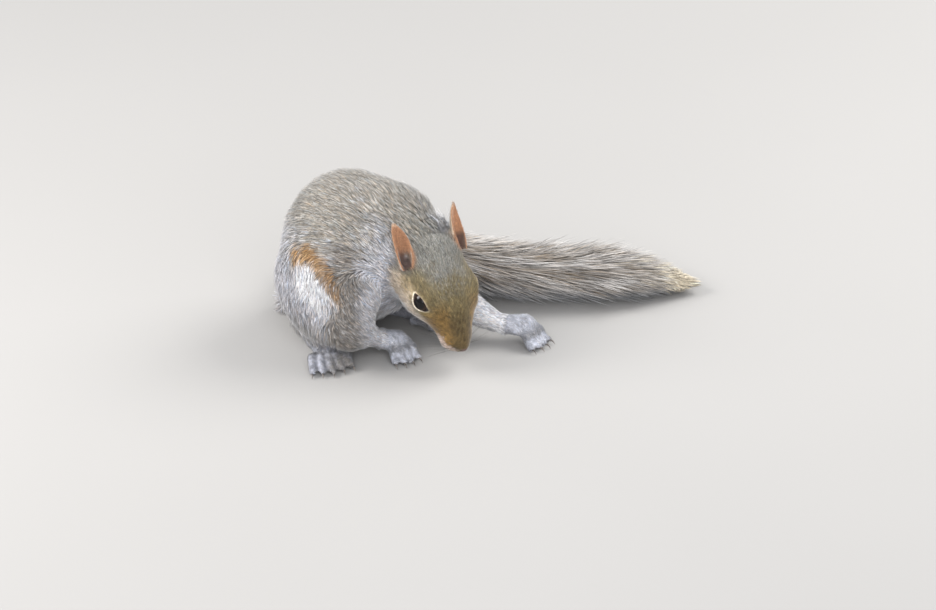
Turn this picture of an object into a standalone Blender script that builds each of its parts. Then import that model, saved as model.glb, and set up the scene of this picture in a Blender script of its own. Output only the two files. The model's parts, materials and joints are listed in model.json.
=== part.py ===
"""Grey squirrel, life size, hunched over the ground with its nose down and its tail laid round to one side.

The animal faces -Y and its left side is +X. Tables are in millimetres, from the point of the floor that lies
under the middle of the trunk; the finished parts are moved so that the floor under the middle of their box is
the origin. Every outline runs out to the tips of the coat. The flesh of the trunk, neck, head and legs is one
blended form of balls and round limbs, parted with thin cuts; paws, feet, ears and tail stand against it.
"""

import math
from dataclasses import dataclass

import bmesh
import bpy
import numpy as np
from mathutils import Euler, Matrix, Vector

# Driving dimensions, in millimetres and degrees.
MM = 0.001
LEFT, RIGHT = 1, -1
SIDE_NAMES = {LEFT: "left", RIGHT: "right"}
GAP = 0.3
CLEARANCE = 0.5

# The head: its origin is midway between the eyes.
EYE_MIDDLE = (14.0, -43.0, 36.5)
HEAD_PITCH = 48.0
HEAD_YAW = -6.0
EYE_TO_NOSE = 31.0
EYE_PLACE = (14.2, 0.0, 4.0)
EYE_RADIUS = 5.7
HEAD_CUT = ((0, -4, 4), (30, 35, 26))
NECK_CUT = ((0, 2, 1), (32, 40, 32))

# An ear: a leaf of skin rolled about its length, in the head's axes for the left side.
EAR_ROOT = (16.4, 21.6, 6.1)
EAR_ALONG = (0.12, 0.90, 0.40)
EAR_OPENING = (0.38, -0.45, 0.78)
EAR_LENGTH = 25.0
EAR_SUNK = 4.0
EAR_WIDTH = 16.0
EAR_THICKNESS = 1.8
EAR_BOW = 1.2
EAR_ROLL = (145.0, 45.0)
EAR_GRID = (7, 6)

# Legs: shoulder, elbow and wrist of each fore leg, then its palm and the way its fingers reach.
FORELEG = {
    RIGHT: ((-13, -10, 42), (-25, -15, 20), (-10, -20, 11)),
    LEFT: ((30, -15, 42), (34, -26, 20), (47, -49, 9.5)),
}
FOREPAW = {
    RIGHT: ((-1, -25, 7.5), (-3, -11)),
    LEFT: ((56, -58, 9), (1, -10)),
}
FINGERS = 4
FINGER_LENGTH = 10.0
FINGER_RADII = (2.5, 2.1, 1.8)
FINGER_SPREAD = 3.4

# Hip, knee, heel, arch and ball of the left hind leg; the right one is its mirror image.
HIP = (28.5, 10, 35)
HIP_RADII = (13.5, 22, 28)
KNEE = (32, -7, 20)
HEEL = (21, 25, 7)
SOLE = ((21, 25, 5), (26, 8, 4.8), (30, -3, 4.6))
TOES = 5
TOE_LENGTH = 13.0
TOE_RADII = (2.7, 2.3, 2.0)
TOE_SPREAD = 4.0
FOOT_TURN = 30.0

CLAW_LENGTH = 3.4
CLAW_RADIUS = 0.75

# The tail's path over the floor: x, y, half width and half height of the brush.
TAIL_PATH = (
    (3, 36, 12, 10),
    (16, 55, 14, 11),
    (42, 58, 18, 11.5),
    (64, 31, 21, 12),
    (79, -10, 24, 13),
    (113, -41, 24, 13),
    (140, -65, 18, 10),
    (153, -79, 7, 5),
)
TAIL_LENGTHS = 5
TAIL_RINGS = 6
TAIL_SIDES = 16
TAIL_SINK = 0.8

BODY_VOXEL = 1.3
FINE_VOXEL = 0.8
DENSE_TRIANGLES = 4800
BODY_TRIANGLES = 2050
LEG_TRIANGLES = 300
FOREPAW_TRIANGLES = 300
HINDFOOT_TRIANGLES = 360

# Colour and roughness of each finish.
FINISHES = {
    "coat_grey": ((0.30, 0.27, 0.22), 0.85),
    "coat_brow": ((0.33, 0.25, 0.14), 0.85),
    "coat_tail": ((0.36, 0.32, 0.26), 0.9),
    "coat_paw": ((0.44, 0.44, 0.45), 0.8),
    "ear_skin": ((0.42, 0.24, 0.15), 0.7),
    "eye_dark": ((0.012, 0.008, 0.006), 0.08),
    "claw_horn": ((0.06, 0.05, 0.045), 0.35),
}


# --------------------------------------------------------------------------------------------- fields of flesh
@dataclass(frozen=True)
class Ball:
    """An ellipsoid of flesh. blend is how far, in millimetres, it melts into what comes before it."""

    at: tuple
    radii: tuple
    turn: tuple = (0.0, 0.0, 0.0)
    blend: float = 6.0
    frame: Matrix = Matrix.Identity(4)

    def matrix(self):
        turn = Euler([math.radians(angle) for angle in self.turn]).to_matrix().to_4x4()
        return self.frame @ Matrix.Translation(self.at) @ turn

    def distance(self, points):
        back = np.array(self.matrix().inverted())
        local = points @ back[:3, :3].T + back[:3, 3]
        radii = np.array(self.radii)
        nearness = np.linalg.norm(local / radii, axis=1)
        slope = np.linalg.norm(local / radii**2, axis=1)
        return nearness * (nearness - 1.0) / np.maximum(slope, 1e-9)

    def beads(self):
        return [self.matrix() @ Matrix.Diagonal((*self.radii, 1.0))]


@dataclass(frozen=True)
class Bone:
    """A round limb of flesh that tapers from one end to the other."""

    start: tuple
    end: tuple
    start_radius: float
    end_radius: float
    blend: float = 4.0

    def distance(self, points):
        first, last = np.array(self.start), np.array(self.end)
        along = last - first
        share = np.clip((points - first) @ along / (along @ along), 0.0, 1.0)
        radius = self.start_radius + (self.end_radius - self.start_radius) * share
        return np.linalg.norm(points - first - share[:, None] * along, axis=1) - radius

    def beads(self):
        """Where unit spheres go to fill the limb."""
        first, last = Vector(self.start), Vector(self.end)
        steps = math.ceil((last - first).length / (0.6 * min(self.start_radius, self.end_radius)))
        places = []
        for step in range(steps + 1):
            share = step / steps
            radius = self.start_radius + (self.end_radius - self.start_radius) * share
            places.append(Matrix.Translation(first.lerp(last, share)) @ Matrix.Scale(radius, 4))
        return places


def chain(points, radii, blend):
    """A run of limbs through points, with one radius at each point."""
    return [
        Bone(tuple(points[i]), tuple(points[i + 1]), radii[i], radii[i + 1], blend)
        for i in range(len(points) - 1)
    ]


def field(flesh, points):
    """Distance from each point to the blended form, below zero inside it."""
    total = flesh[0].distance(points)
    for piece in flesh[1:]:
        other = piece.distance(points)
        mix = np.clip(0.5 + 0.5 * (other - total) / piece.blend, 0.0, 1.0)
        total = other + (total - other) * mix - piece.blend * mix * (1.0 - mix)
    return total


# ------------------------------------------------------------------------------------------------ body tables
def mirrored(point, side):
    """The point as given for the left side, or its mirror image."""
    return (side * point[0], point[1], point[2])


def head_frame():
    """The head's own axes: x to its left, y back from the nose and z out of its brow."""
    tilt = Euler((math.radians(HEAD_PITCH), 0.0, math.radians(HEAD_YAW)))
    return Matrix.Translation(EYE_MIDDLE) @ tilt.to_matrix().to_4x4()


def head_flesh():
    frame = head_frame()
    nose = -EYE_TO_NOSE
    snout = [frame @ Vector(point) for point in ((0, -9, -1), (0, nose + 8, -3))]
    jaw = [frame @ Vector(point) for point in ((0, -4, -8), (0, nose + 11, -8.5))]
    pieces = [
        Ball((0, 15, 0), (18, 19, 15.5), blend=8, frame=frame),
        Ball((0, -2, 0.5), (14.5, 18, 13), blend=7, frame=frame),
        *chain(snout, (11.5, 7.2), 5),
        Ball((0, nose + 3, -1.6), (3.6, 3.2, 3.0), blend=2.5, frame=frame),
        *chain(jaw, (7, 4.4), 4),
    ]
    for side in (LEFT, RIGHT):
        cheek, lip, brow = (side * 10, 6, -5.5), (side * 4.6, nose + 9.5, -5.2), (side * 11, 0, 4)
        pieces += [
            Ball(cheek, (9.5, 13, 9), blend=6, frame=frame),
            Ball(lip, (4.6, 6.5, 4.8), blend=3, frame=frame),
            Ball(brow, (7.2, 10.5, 8), blend=4, frame=frame),
        ]
    return pieces


def trunk_flesh():
    """Belly and back, then shoulders, rump and nape."""
    return [
        Ball((0, 12, 46), (35, 35, 42)),
        Ball((12, -5, 51), (28.6, 24, 32), blend=10),
        Ball((0, 28, 29), (27, 20, 25), blend=10),
        *chain([(14, -10, 55), (16, -21, 52)], (20, 16), 6),
    ]


def foreleg_flesh(side):
    return chain(FORELEG[side], (14, 10, 5), 6)


def palm_flesh(side):
    return chain([FORELEG[side][-1], FOREPAW[side][0]], (5.0, 6.2), 2.5)


def thigh_flesh(side):
    hip = Ball(mirrored(HIP, side), HIP_RADII, (-14, 0, side * -4), blend=4)
    return [hip, *chain([mirrored(KNEE, side), mirrored(HEEL, side)], (9, 7), 4)]


def sole_flesh(side):
    return chain([mirrored(point, side) for point in SOLE], (5.6, 5.6, 6.4), 3)


def finger_lines(side):
    """Root, knuckle and tip of each finger."""
    palm = Vector(FOREPAW[side][0])
    ahead = Vector((*FOREPAW[side][1], 0)).normalized()
    across = Vector((ahead.y, -ahead.x, 0))
    lines = []
    for finger in range(FINGERS):
        spread = finger - (FINGERS - 1) / 2
        root = palm + ahead + across * spread * FINGER_SPREAD - Vector((0, 0, 0.5))
        tip = root + ahead * (FINGER_LENGTH - 1.2 * abs(spread)) + across * spread * 0.8
        tip.z = 1.5
        lines.append((root, root.lerp(tip, 0.55) + Vector((0, 0, 2.2)), tip))
    return lines


def toe_lines(side):
    """Root, knuckle and tip of each toe, from the inside of the foot out."""
    ball = Vector(mirrored(SOLE[-1], side))
    lines = []
    for toe in range(TOES):
        spread = toe - (TOES - 1) / 2
        root = ball + Vector((side * (1.5 + TOE_SPREAD * spread), 1.6 * spread - 3.5, -1.0))
        heading = math.radians(FOOT_TURN + 5 * spread)
        ahead = Vector((side * math.sin(heading), -math.cos(heading), 0))
        tip = root + ahead * (TOE_LENGTH - 1.2 * abs(spread))
        tip.z = 1.6
        lines.append((root, root.lerp(tip, 0.5) + Vector((0, 0, 1.8)), tip))
    return lines


# ------------------------------------------------------------------------------------------------ mesh making
def show_mesh(name, built):
    """Puts a bmesh in the scene as an object, and frees it."""
    data = bpy.data.meshes.new(name)
    built.to_mesh(data)
    built.free()
    made = bpy.data.objects.new(name, data)
    bpy.context.scene.collection.objects.link(made)
    return made


def rough_form(name, flesh):
    """A sphere for every ball and every bead of a limb, all in one mesh."""
    template = bmesh.new()
    bmesh.ops.create_icosphere(template, subdivisions=2, radius=1.0)
    sphere = bpy.data.meshes.new("bead")
    template.to_mesh(sphere)
    template.free()
    built = bmesh.new()
    for piece in flesh:
        for place in piece.beads():
            bead = sphere.copy()
            bead.transform(Matrix.Scale(MM, 4) @ place)
            built.from_mesh(bead)
            bpy.data.meshes.remove(bead)
    bpy.data.meshes.remove(sphere)
    return show_mesh(name, built)


def apply_modifiers(made):
    bpy.context.view_layer.objects.active = made
    for modifier in list(made.modifiers):
        bpy.ops.object.modifier_apply(modifier=modifier.name)


def points_of(made):
    points = np.empty(len(made.data.vertices) * 3)
    made.data.vertices.foreach_get("co", points)
    return points.reshape(-1, 3) / MM


def settle_on(made, flesh, rounds=4, reach=0.05):
    """Slides every vertex onto the surface of the blended form."""
    points = points_of(made)
    for _ in range(rounds):
        value = field(flesh, points)
        slope = np.empty_like(points)
        for axis in range(3):
            nudge = np.zeros(3)
            nudge[axis] = reach
            slope[:, axis] = (field(flesh, points + nudge) - value) / reach
        steep = np.maximum((slope**2).sum(1), 0.25)
        points -= (0.8 * value / steep)[:, None] * slope
    made.data.vertices.foreach_set("co", (points * MM).ravel())
    made.data.update()


def thin_out(made, triangles, kept=None):
    """Thins the mesh down to a count of triangles. kept is a centre and radius within which nothing changes."""
    thin = made.modifiers.new("thin", "DECIMATE")
    thin.ratio = triangles / sum(len(face.vertices) - 2 for face in made.data.polygons)
    if kept:
        centre, radius = kept
        group = made.vertex_groups.new(name="thinned")
        outside = np.linalg.norm(points_of(made) - np.array(centre), axis=1) > radius
        group.add(np.flatnonzero(outside).tolist(), 1.0, "REPLACE")
        thin.vertex_group = group.name
    apply_modifiers(made)
    made.vertex_groups.clear()


def blended(name, flesh, voxel, triangles):
    """One closed mesh of the blended form."""
    made = rough_form(name, flesh)
    remesh = made.modifiers.new("whole", "REMESH")
    remesh.mode = "VOXEL"
    remesh.voxel_size = voxel * MM
    apply_modifiers(made)
    settle_on(made, flesh)
    smooth = made.modifiers.new("even", "SMOOTH")
    smooth.factor = 0.5
    smooth.iterations = 2
    apply_modifiers(made)
    thin_out(made, triangles)
    return made


def discard(*objects):
    for made in objects:
        bpy.data.objects.remove(made, do_unlink=True)


def block(low, high, frame=Matrix.Identity(4)):
    """A box between two corners of a frame."""
    low, high = Vector(low), Vector(high)
    built = bmesh.new()
    size = Matrix.Diagonal((*(high - low), 1.0))
    place = Matrix.Scale(MM, 4) @ frame @ Matrix.Translation((low + high) / 2) @ size
    bmesh.ops.create_cube(built, size=1.0, matrix=place)
    return show_mesh("block", built)


def boolean(made, other, operation):
    cut = made.modifiers.new("cut", "BOOLEAN")
    cut.operation = operation
    cut.solver = "EXACT"
    cut.object = other
    apply_modifiers(made)


def cut_away(made, cutter):
    """Cuts with a cutter that is then discarded."""
    boolean(made, cutter, "DIFFERENCE")
    discard(cutter)


def drop_crumbs(made):
    """Keeps only the largest of the separate bodies that a cut can leave."""
    built = bmesh.new()
    built.from_mesh(made.data)
    unseen, bodies = set(built.verts), []
    while unseen:
        body, edge_of_search = set(), [unseen.pop()]
        while edge_of_search:
            vertex = edge_of_search.pop()
            body.add(vertex)
            beside = {edge.other_vert(vertex) for edge in vertex.link_edges} & unseen
            unseen -= beside
            edge_of_search += beside
        bodies.append(body)
    bodies.sort(key=len)
    for body in bodies[:-1]:
        bmesh.ops.delete(built, geom=list(body), context="VERTS")
    built.to_mesh(made.data)
    built.free()


def split_off(whole, name, inner, outer):
    """Makes what lies in inner a new node, and removes the slightly larger outer from the rest."""
    node = whole.copy()
    node.data = whole.data.copy()
    node.name = name
    bpy.context.scene.collection.objects.link(node)
    boolean(node, inner, "INTERSECT")
    drop_crumbs(node)
    boolean(whole, outer, "DIFFERENCE")
    drop_crumbs(whole)
    discard(inner, outer)
    return node


def flatten_soles(made):
    """Cuts the flats that the animal stands on."""
    reach = 200
    cut_away(made, block((-reach, -reach, -reach), (reach, reach, 0)))
    drop_crumbs(made)


# ------------------------------------------------------------------------------------------------------ parts
def frame_towards(at, towards):
    """A frame at a point, with z along a direction."""
    return Matrix.Translation(at) @ Vector(towards).to_track_quat("Z", "Y").to_matrix().to_4x4()


def eye(name, side, grow=0.0):
    frame = head_frame() @ Matrix.Translation(mirrored(EYE_PLACE, side))
    built = bmesh.new()
    place = Matrix.Scale(MM, 4) @ frame
    bmesh.ops.create_uvsphere(built, u_segments=12, v_segments=7, radius=EYE_RADIUS + grow, matrix=place)
    return show_mesh(name, built)


def ear(side, outside):
    """A leaf of skin rolled nearly shut at its root and open at its tip, fuller on its inner edge."""
    axes = head_frame().to_3x3()
    root = head_frame() @ Vector(mirrored(EAR_ROOT, side))
    along = (axes @ Vector(mirrored(EAR_ALONG, side))).normalized()
    across = along.cross(axes @ Vector(mirrored(EAR_OPENING, side))).normalized()
    opening = across.cross(along)
    rows, columns = EAR_GRID
    built = bmesh.new()
    bmesh.ops.create_grid(built, x_segments=columns - 1, y_segments=rows - 1, size=0.5)
    for vertex in built.verts:
        share = vertex.co.y + 0.5
        width = EAR_WIDTH * (0.95 + 0.15 * share) * (1 - 0.94 * share**1.7) ** 0.85
        roll = math.radians(EAR_ROLL[0] + (EAR_ROLL[1] - EAR_ROLL[0]) * share**0.7)
        angle = 2 * vertex.co.x * roll
        radius = width / (2 * roll)
        aside = radius * math.sin(angle) - side * EAR_BOW * math.sin(math.pi * share)
        section = across * aside - opening * radius * (math.cos(angle) - 0.6)
        vertex.co = (root + along * (EAR_LENGTH * share - EAR_SUNK) + section) * MM
    made = show_mesh("ear_" + SIDE_NAMES[side], built)
    skin = made.modifiers.new("skin", "SOLIDIFY")
    skin.thickness = EAR_THICKNESS * MM
    skin.offset = 0.0
    apply_modifiers(made)
    boolean(made, outside, "DIFFERENCE")
    drop_crumbs(made)
    return made


def paw(name, flesh, lines, radii, triangles, outside):
    """A paw with its fingers or toes, cut where it comes out of the coat of the leg."""
    digits = [bone for line in lines for bone in chain(line, radii, 0.9)]
    made = blended(name, flesh + digits, FINE_VOXEL, triangles)
    boolean(made, outside, "DIFFERENCE")
    flatten_soles(made)
    return made


def claw(name, line, tip_radius):
    root, _, tip = line
    ahead = Vector((tip.x - root.x, tip.y - root.y, 0)).normalized()
    base = tip + ahead * (tip_radius + GAP) + Vector((0, 0, 0.2))
    point = base + ahead * CLAW_LENGTH
    point.z = 0.5
    frame = frame_towards((base + point) / 2, point - base)
    built = bmesh.new()
    bmesh.ops.create_cone(
        built,
        cap_ends=True,
        segments=6,
        radius1=CLAW_RADIUS,
        radius2=0.15 * CLAW_RADIUS,
        depth=(point - base).length,
        matrix=Matrix.Scale(MM, 4) @ frame,
    )
    return show_mesh(name, built)


def tail_station(share):
    """x, y, half width and half height of the tail at a share of its path, as a smooth curve."""
    table = np.array(TAIL_PATH, float)
    index = min(int(share * (len(table) - 1)), len(table) - 2)
    part = share * (len(table) - 1) - index
    start, end = table[index], table[index + 1]
    leave = (end - table[max(index - 1, 0)]) / 2
    arrive = (table[min(index + 2, len(table) - 1)] - start) / 2
    square, cube = part**2, part**3
    from_start = (2 * cube - 3 * square + 1) * start + (cube - 2 * square + part) * leave
    return from_start + (3 * square - 2 * cube) * end + (cube - square) * arrive


def tail_ring(built, share):
    """A flattened ring of the brush, with a flat underside."""
    x, y, half_width, half_height = tail_station(share)
    ahead = tail_station(min(share + 0.01, 1.0))[:2] - tail_station(max(share - 0.01, 0.0))[:2]
    ahead /= np.linalg.norm(ahead)
    ring = []
    for side in range(TAIL_SIDES):
        angle = 2 * math.pi * side / TAIL_SIDES
        out = half_width * math.cos(angle)
        height = max(half_height * (1 + math.sin(angle)) - TAIL_SINK, 0.0)
        ring.append(built.verts.new(Vector((x - ahead[1] * out, y + ahead[0] * out, height)) * MM))
    return ring


def tail_length(number):
    """One length of the brush, a loft of rings along its share of the path."""
    path = np.array(TAIL_PATH, float)[:, :2]
    half_gap = 0.5 * GAP / np.linalg.norm(np.diff(path, axis=0), axis=1).sum()
    first, last = number / TAIL_LENGTHS + half_gap, (number + 1) / TAIL_LENGTHS - half_gap
    built = bmesh.new()
    rings = [tail_ring(built, share) for share in np.linspace(first, last, TAIL_RINGS)]
    for ring, following in zip(rings, rings[1:]):
        for side in range(TAIL_SIDES):
            beside = (side + 1) % TAIL_SIDES
            built.faces.new((ring[side], ring[beside], following[beside], following[side]))
    built.faces.new(rings[0])
    built.faces.new(rings[-1])
    bmesh.ops.recalc_face_normals(built, faces=built.faces)
    return show_mesh("tail_%d" % (number + 1), built)


def head_region(cut, grow=0.0):
    """An egg around the head, inside which the flesh belongs to one node."""
    at, radii = cut
    built = bmesh.new()
    size = Matrix.Diagonal((*(radius + grow for radius in radii), 1.0))
    place = Matrix.Scale(MM, 4) @ head_frame() @ Matrix.Translation(at) @ size
    bmesh.ops.create_uvsphere(built, u_segments=16, v_segments=10, radius=1.0, matrix=place)
    return show_mesh("region", built)


def room_around(made):
    """A slightly larger copy, which makes room for the part in what lies behind it."""
    room = made.copy()
    room.data = made.data.copy()
    room.name = "room"
    bpy.context.scene.collection.objects.link(room)
    for vertex in room.data.vertices:
        vertex.co += vertex.normal * CLEARANCE * MM
    return room


def leg(name, flesh):
    """A leg and the room around it."""
    node = blended(name, flesh, BODY_VOXEL, LEG_TRIANGLES)
    room = room_around(node)
    flatten_soles(node)
    return node, room


def side_nodes(side, whole, outside):
    """The eye, ear, legs, paws and claws of one side, which make room for themselves in the whole."""
    name = SIDE_NAMES[side]
    hind, hind_room = leg("hindleg_" + name, thigh_flesh(side))
    fore, fore_room = leg("foreleg_" + name, foreleg_flesh(side))
    boolean(fore, hind_room, "DIFFERENCE")
    socket = eye("socket", side, GAP)
    for room in (hind_room, fore_room, socket):
        boolean(whole, room, "DIFFERENCE")
        drop_crumbs(whole)
    fingers, toes = finger_lines(side), toe_lines(side)
    nodes = [
        hind,
        fore,
        eye("eye_" + name, side),
        ear(side, outside),
        paw("forepaw_" + name, palm_flesh(side), fingers, FINGER_RADII, FOREPAW_TRIANGLES, fore_room),
        paw("hindfoot_" + name, sole_flesh(side), toes, TOE_RADII, HINDFOOT_TRIANGLES, hind_room),
    ]
    discard(hind_room, fore_room, socket)
    for number, line in enumerate(fingers, 1):
        nodes.append(claw("foreclaw_%s_%d" % (name, number), line, FINGER_RADII[-1]))
    for number, line in enumerate(toes, 1):
        nodes.append(claw("hindclaw_%s_%d" % (name, number), line, TOE_RADII[-1]))
    return nodes


def tail_nodes(outside):
    """The lengths of the tail, the first of them cut clear of the body."""
    lengths = [tail_length(number) for number in range(TAIL_LENGTHS)]
    boolean(lengths[0], outside, "DIFFERENCE")
    drop_crumbs(lengths[0])
    return lengths


def finish_of(name):
    """The finish that a node of this name wears."""
    kind = name.split("_")[0]
    table = {"head": "coat_brow", "tail": "coat_tail", "ear": "ear_skin", "eye": "eye_dark"}
    table |= {"forepaw": "coat_paw", "hindfoot": "coat_paw", "foreclaw": "claw_horn", "hindclaw": "claw_horn"}
    return table.get(kind, "coat_grey")


def make_material(name, colour, roughness):
    material = bpy.data.materials.new(name)
    material.use_nodes = True
    shader = material.node_tree.nodes["Principled BSDF"]
    shader.inputs["Base Color"].default_value = (*colour, 1.0)
    shader.inputs["Roughness"].default_value = roughness
    shader.inputs["Metallic"].default_value = 0.0
    return material


def finish(nodes):
    """Moves the parts onto their origin, and gives each its collection, material and shading."""
    collection = bpy.data.collections.new("grey_squirrel")
    bpy.context.scene.collection.children.link(collection)
    materials = {name: make_material(name, *look) for name, look in FINISHES.items()}
    corners = np.concatenate([points_of(node) for node in nodes]) * MM
    low, high = corners.min(0), corners.max(0)
    shift = Matrix.Translation((-(low[0] + high[0]) / 2, -(low[1] + high[1]) / 2, -low[2]))
    for node in nodes:
        node.data.transform(shift)
        node.data.materials.clear()
        node.data.materials.append(materials[finish_of(node.name)])
        node.data.shade_smooth()
        node.data.set_sharp_from_angle(angle=math.radians(40))
        bpy.context.scene.collection.objects.unlink(node)
        collection.objects.link(node)


def main():
    for old in list(bpy.data.objects):
        bpy.data.objects.remove(old, do_unlink=True)
    body = trunk_flesh() + head_flesh()
    whole = blended("trunk", body, BODY_VOXEL, DENSE_TRIANGLES)
    thin_out(whole, BODY_TRIANGLES, kept=(head_frame() @ Vector((0, -5, 0)), EYE_TO_NOSE))
    outside = room_around(whole)
    nodes = side_nodes(LEFT, whole, outside) + side_nodes(RIGHT, whole, outside) + tail_nodes(outside)
    for name, cut in (("head", HEAD_CUT), ("neck", NECK_CUT)):
        nodes.append(split_off(whole, name, head_region(cut), head_region(cut, GAP)))
    nodes.append(whole)
    discard(outside)
    finish(nodes)


main()
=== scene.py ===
"""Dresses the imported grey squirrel: one skin, a coat of fur tufts, eyes, claws and whiskers, on a pale floor.

Lengths are in metres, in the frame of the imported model: the animal faces -Y, its left side is +X and +Z is
up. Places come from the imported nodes, so the coat fits whatever body they give. The same marking colours are
laid on the skin and on the tufts that grow from it.
"""

import json
import logging
import math
from collections.abc import Callable
from dataclasses import dataclass, field
from enum import Enum

import bmesh
import bpy
import numpy as np
from mathutils import Euler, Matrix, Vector
from mathutils.bvhtree import BVHTree
from mathutils.kdtree import KDTree

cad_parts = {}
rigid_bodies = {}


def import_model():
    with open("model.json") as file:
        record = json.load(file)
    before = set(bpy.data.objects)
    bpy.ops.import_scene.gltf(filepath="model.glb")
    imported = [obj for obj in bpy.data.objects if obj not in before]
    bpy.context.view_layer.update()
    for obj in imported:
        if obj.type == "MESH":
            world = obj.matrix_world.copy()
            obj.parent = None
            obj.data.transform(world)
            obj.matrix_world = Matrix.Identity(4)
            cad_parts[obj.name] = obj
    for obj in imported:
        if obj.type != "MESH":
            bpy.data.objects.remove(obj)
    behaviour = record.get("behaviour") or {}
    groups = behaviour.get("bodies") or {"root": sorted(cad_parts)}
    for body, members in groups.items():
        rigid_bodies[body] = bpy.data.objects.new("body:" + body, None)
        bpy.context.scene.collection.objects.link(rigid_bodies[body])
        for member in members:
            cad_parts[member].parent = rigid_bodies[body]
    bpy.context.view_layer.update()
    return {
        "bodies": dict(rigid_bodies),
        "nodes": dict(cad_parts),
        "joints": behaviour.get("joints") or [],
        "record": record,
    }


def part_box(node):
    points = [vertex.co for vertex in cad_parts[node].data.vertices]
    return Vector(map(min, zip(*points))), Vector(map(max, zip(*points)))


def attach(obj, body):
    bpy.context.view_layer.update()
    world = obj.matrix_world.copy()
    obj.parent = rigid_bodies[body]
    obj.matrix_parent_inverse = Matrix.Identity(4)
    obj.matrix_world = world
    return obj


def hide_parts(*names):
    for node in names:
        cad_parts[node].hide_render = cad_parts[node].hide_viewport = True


log = logging.getLogger("grey_squirrel")
MM = 0.001
SIDES = {"left": 1.0, "right": -1.0}
SEED = 20
Colour = tuple[float, float, float]


class Part(Enum):
    """The parts of the body, named as the nodes are."""

    TRUNK = "trunk"
    NECK = "neck"
    HEAD = "head"
    EAR = "ear"
    FORELEG = "foreleg"
    HINDLEG = "hindleg"
    FOREPAW = "forepaw"
    HINDFOOT = "hindfoot"
    TAIL = "tail"


@dataclass(frozen=True)
class Coat:
    """How the fur of one part grows.

    Attributes:
        depth: How far the skin lies inside the outline.
        length: How long a tuft is.
        width: How wide it is at its knee.
        rise: How far its tip stands off the skin.
        per_square: How many tufts there are on a square millimetre.
        evenness: How far the flesh under it is smoothed, from 0 to 1.
        bends: Whether a tuft has a knee. Short ones are straight.
    """

    depth: float
    length: float
    width: float
    rise: float
    per_square: float
    evenness: float
    bends: bool = True


COATS = {
    Part.TRUNK: Coat(2.9 * MM, 6.6 * MM, 0.44 * MM, 2.3 * MM, 3.4, 1.0),
    Part.NECK: Coat(2.2 * MM, 6.5 * MM, 0.44 * MM, 2.3 * MM, 3.4, 0.9),
    Part.HEAD: Coat(0.9 * MM, 3.1 * MM, 0.30 * MM, 0.85 * MM, 12.5, 0.4, False),
    Part.EAR: Coat(0.3 * MM, 1.6 * MM, 0.22 * MM, 0.28 * MM, 8.0, 0.03, False),
    Part.FORELEG: Coat(1.4 * MM, 5.0 * MM, 0.42 * MM, 1.5 * MM, 3.6, 0.6),
    Part.HINDLEG: Coat(2.6 * MM, 6.4 * MM, 0.44 * MM, 2.0 * MM, 3.2, 1.0),
    Part.FOREPAW: Coat(0.4 * MM, 1.9 * MM, 0.25 * MM, 0.32 * MM, 9.0, 0.02, False),
    Part.HINDFOOT: Coat(0.4 * MM, 2.1 * MM, 0.26 * MM, 0.34 * MM, 8.0, 0.02, False),
    Part.TAIL: Coat(0.0 * MM, 7.0 * MM, 0.46 * MM, 1.6 * MM, 4.0, 0.3),
}


@dataclass(frozen=True)
class Palette:
    """Linear colours of the coat and the bare skin."""

    olive: Colour = (0.275, 0.262, 0.238)
    lavender: Colour = (0.55, 0.55, 0.60)
    white: Colour = (0.93, 0.92, 0.96)
    # painted shade on the outer side of the fore legs
    dusk: Colour = (0.27, 0.265, 0.285)
    # painted shade: darkens the body low down, towards the floor, and the fold before each thigh
    umber: Colour = (0.20, 0.185, 0.17)
    orange: Colour = (0.36, 0.20, 0.065)
    crown: Colour = (0.20, 0.198, 0.175)
    ochre: Colour = (0.20, 0.155, 0.07)
    rust: Colour = (0.115, 0.074, 0.026)
    amber: Colour = (0.28, 0.165, 0.048)
    fawn: Colour = (0.46, 0.36, 0.225)
    cheek: Colour = (0.62, 0.51, 0.40)
    cream: Colour = (0.84, 0.74, 0.58)
    tan: Colour = (0.46, 0.34, 0.20)
    paw: Colour = (0.52, 0.535, 0.60)
    foot: Colour = (0.40, 0.41, 0.465)
    ear: Colour = (0.43, 0.215, 0.115)
    ear_shade: Colour = (0.085, 0.05, 0.042)
    ear_back: Colour = (0.36, 0.30, 0.22)
    ear_rim: Colour = (0.72, 0.57, 0.43)
    lip: Colour = (0.58, 0.45, 0.39)
    nose: Colour = (0.15, 0.085, 0.07)
    lid: Colour = (0.022, 0.016, 0.014)
    slate: Colour = (0.12, 0.118, 0.12)
    black: Colour = (0.05, 0.047, 0.047)
    tail_brown: Colour = (0.50, 0.385, 0.265)
    tail_grey: Colour = (0.58, 0.555, 0.53)
    tail_under: Colour = (0.40, 0.415, 0.44)
    frost: Colour = (0.84, 0.80, 0.76)
    tail_tip: Colour = (0.93, 0.81, 0.61)


PALETTE = Palette()


# -------------------------------------------------------------------------------------------- small helpers
def unit(vectors: np.ndarray) -> np.ndarray:
    """Vectors brought to length one.

    Args:
        vectors: One vector, or rows of them.

    Returns:
        The same directions with length one.
    """
    return vectors / np.maximum(np.linalg.norm(vectors, axis=-1, keepdims=True), 1e-12)


def ease(low: float, high: float, value: np.ndarray) -> np.ndarray:
    """A smooth step from 0 at low to 1 at high.

    Args:
        low: Where the step starts.
        high: Where it ends. It may be below low, and then the step falls.
        value: The values to place on the step.

    Returns:
        The height of the step at each value.
    """
    share = np.clip((value - low) / (high - low), 0.0, 1.0)
    return share * share * (3.0 - 2.0 * share)


def mixed(first: np.ndarray, second: tuple | np.ndarray, share: np.ndarray) -> np.ndarray:
    """Colours moved a share of the way from first to second."""
    return first + (np.asarray(second) - first) * share[:, None]


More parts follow.
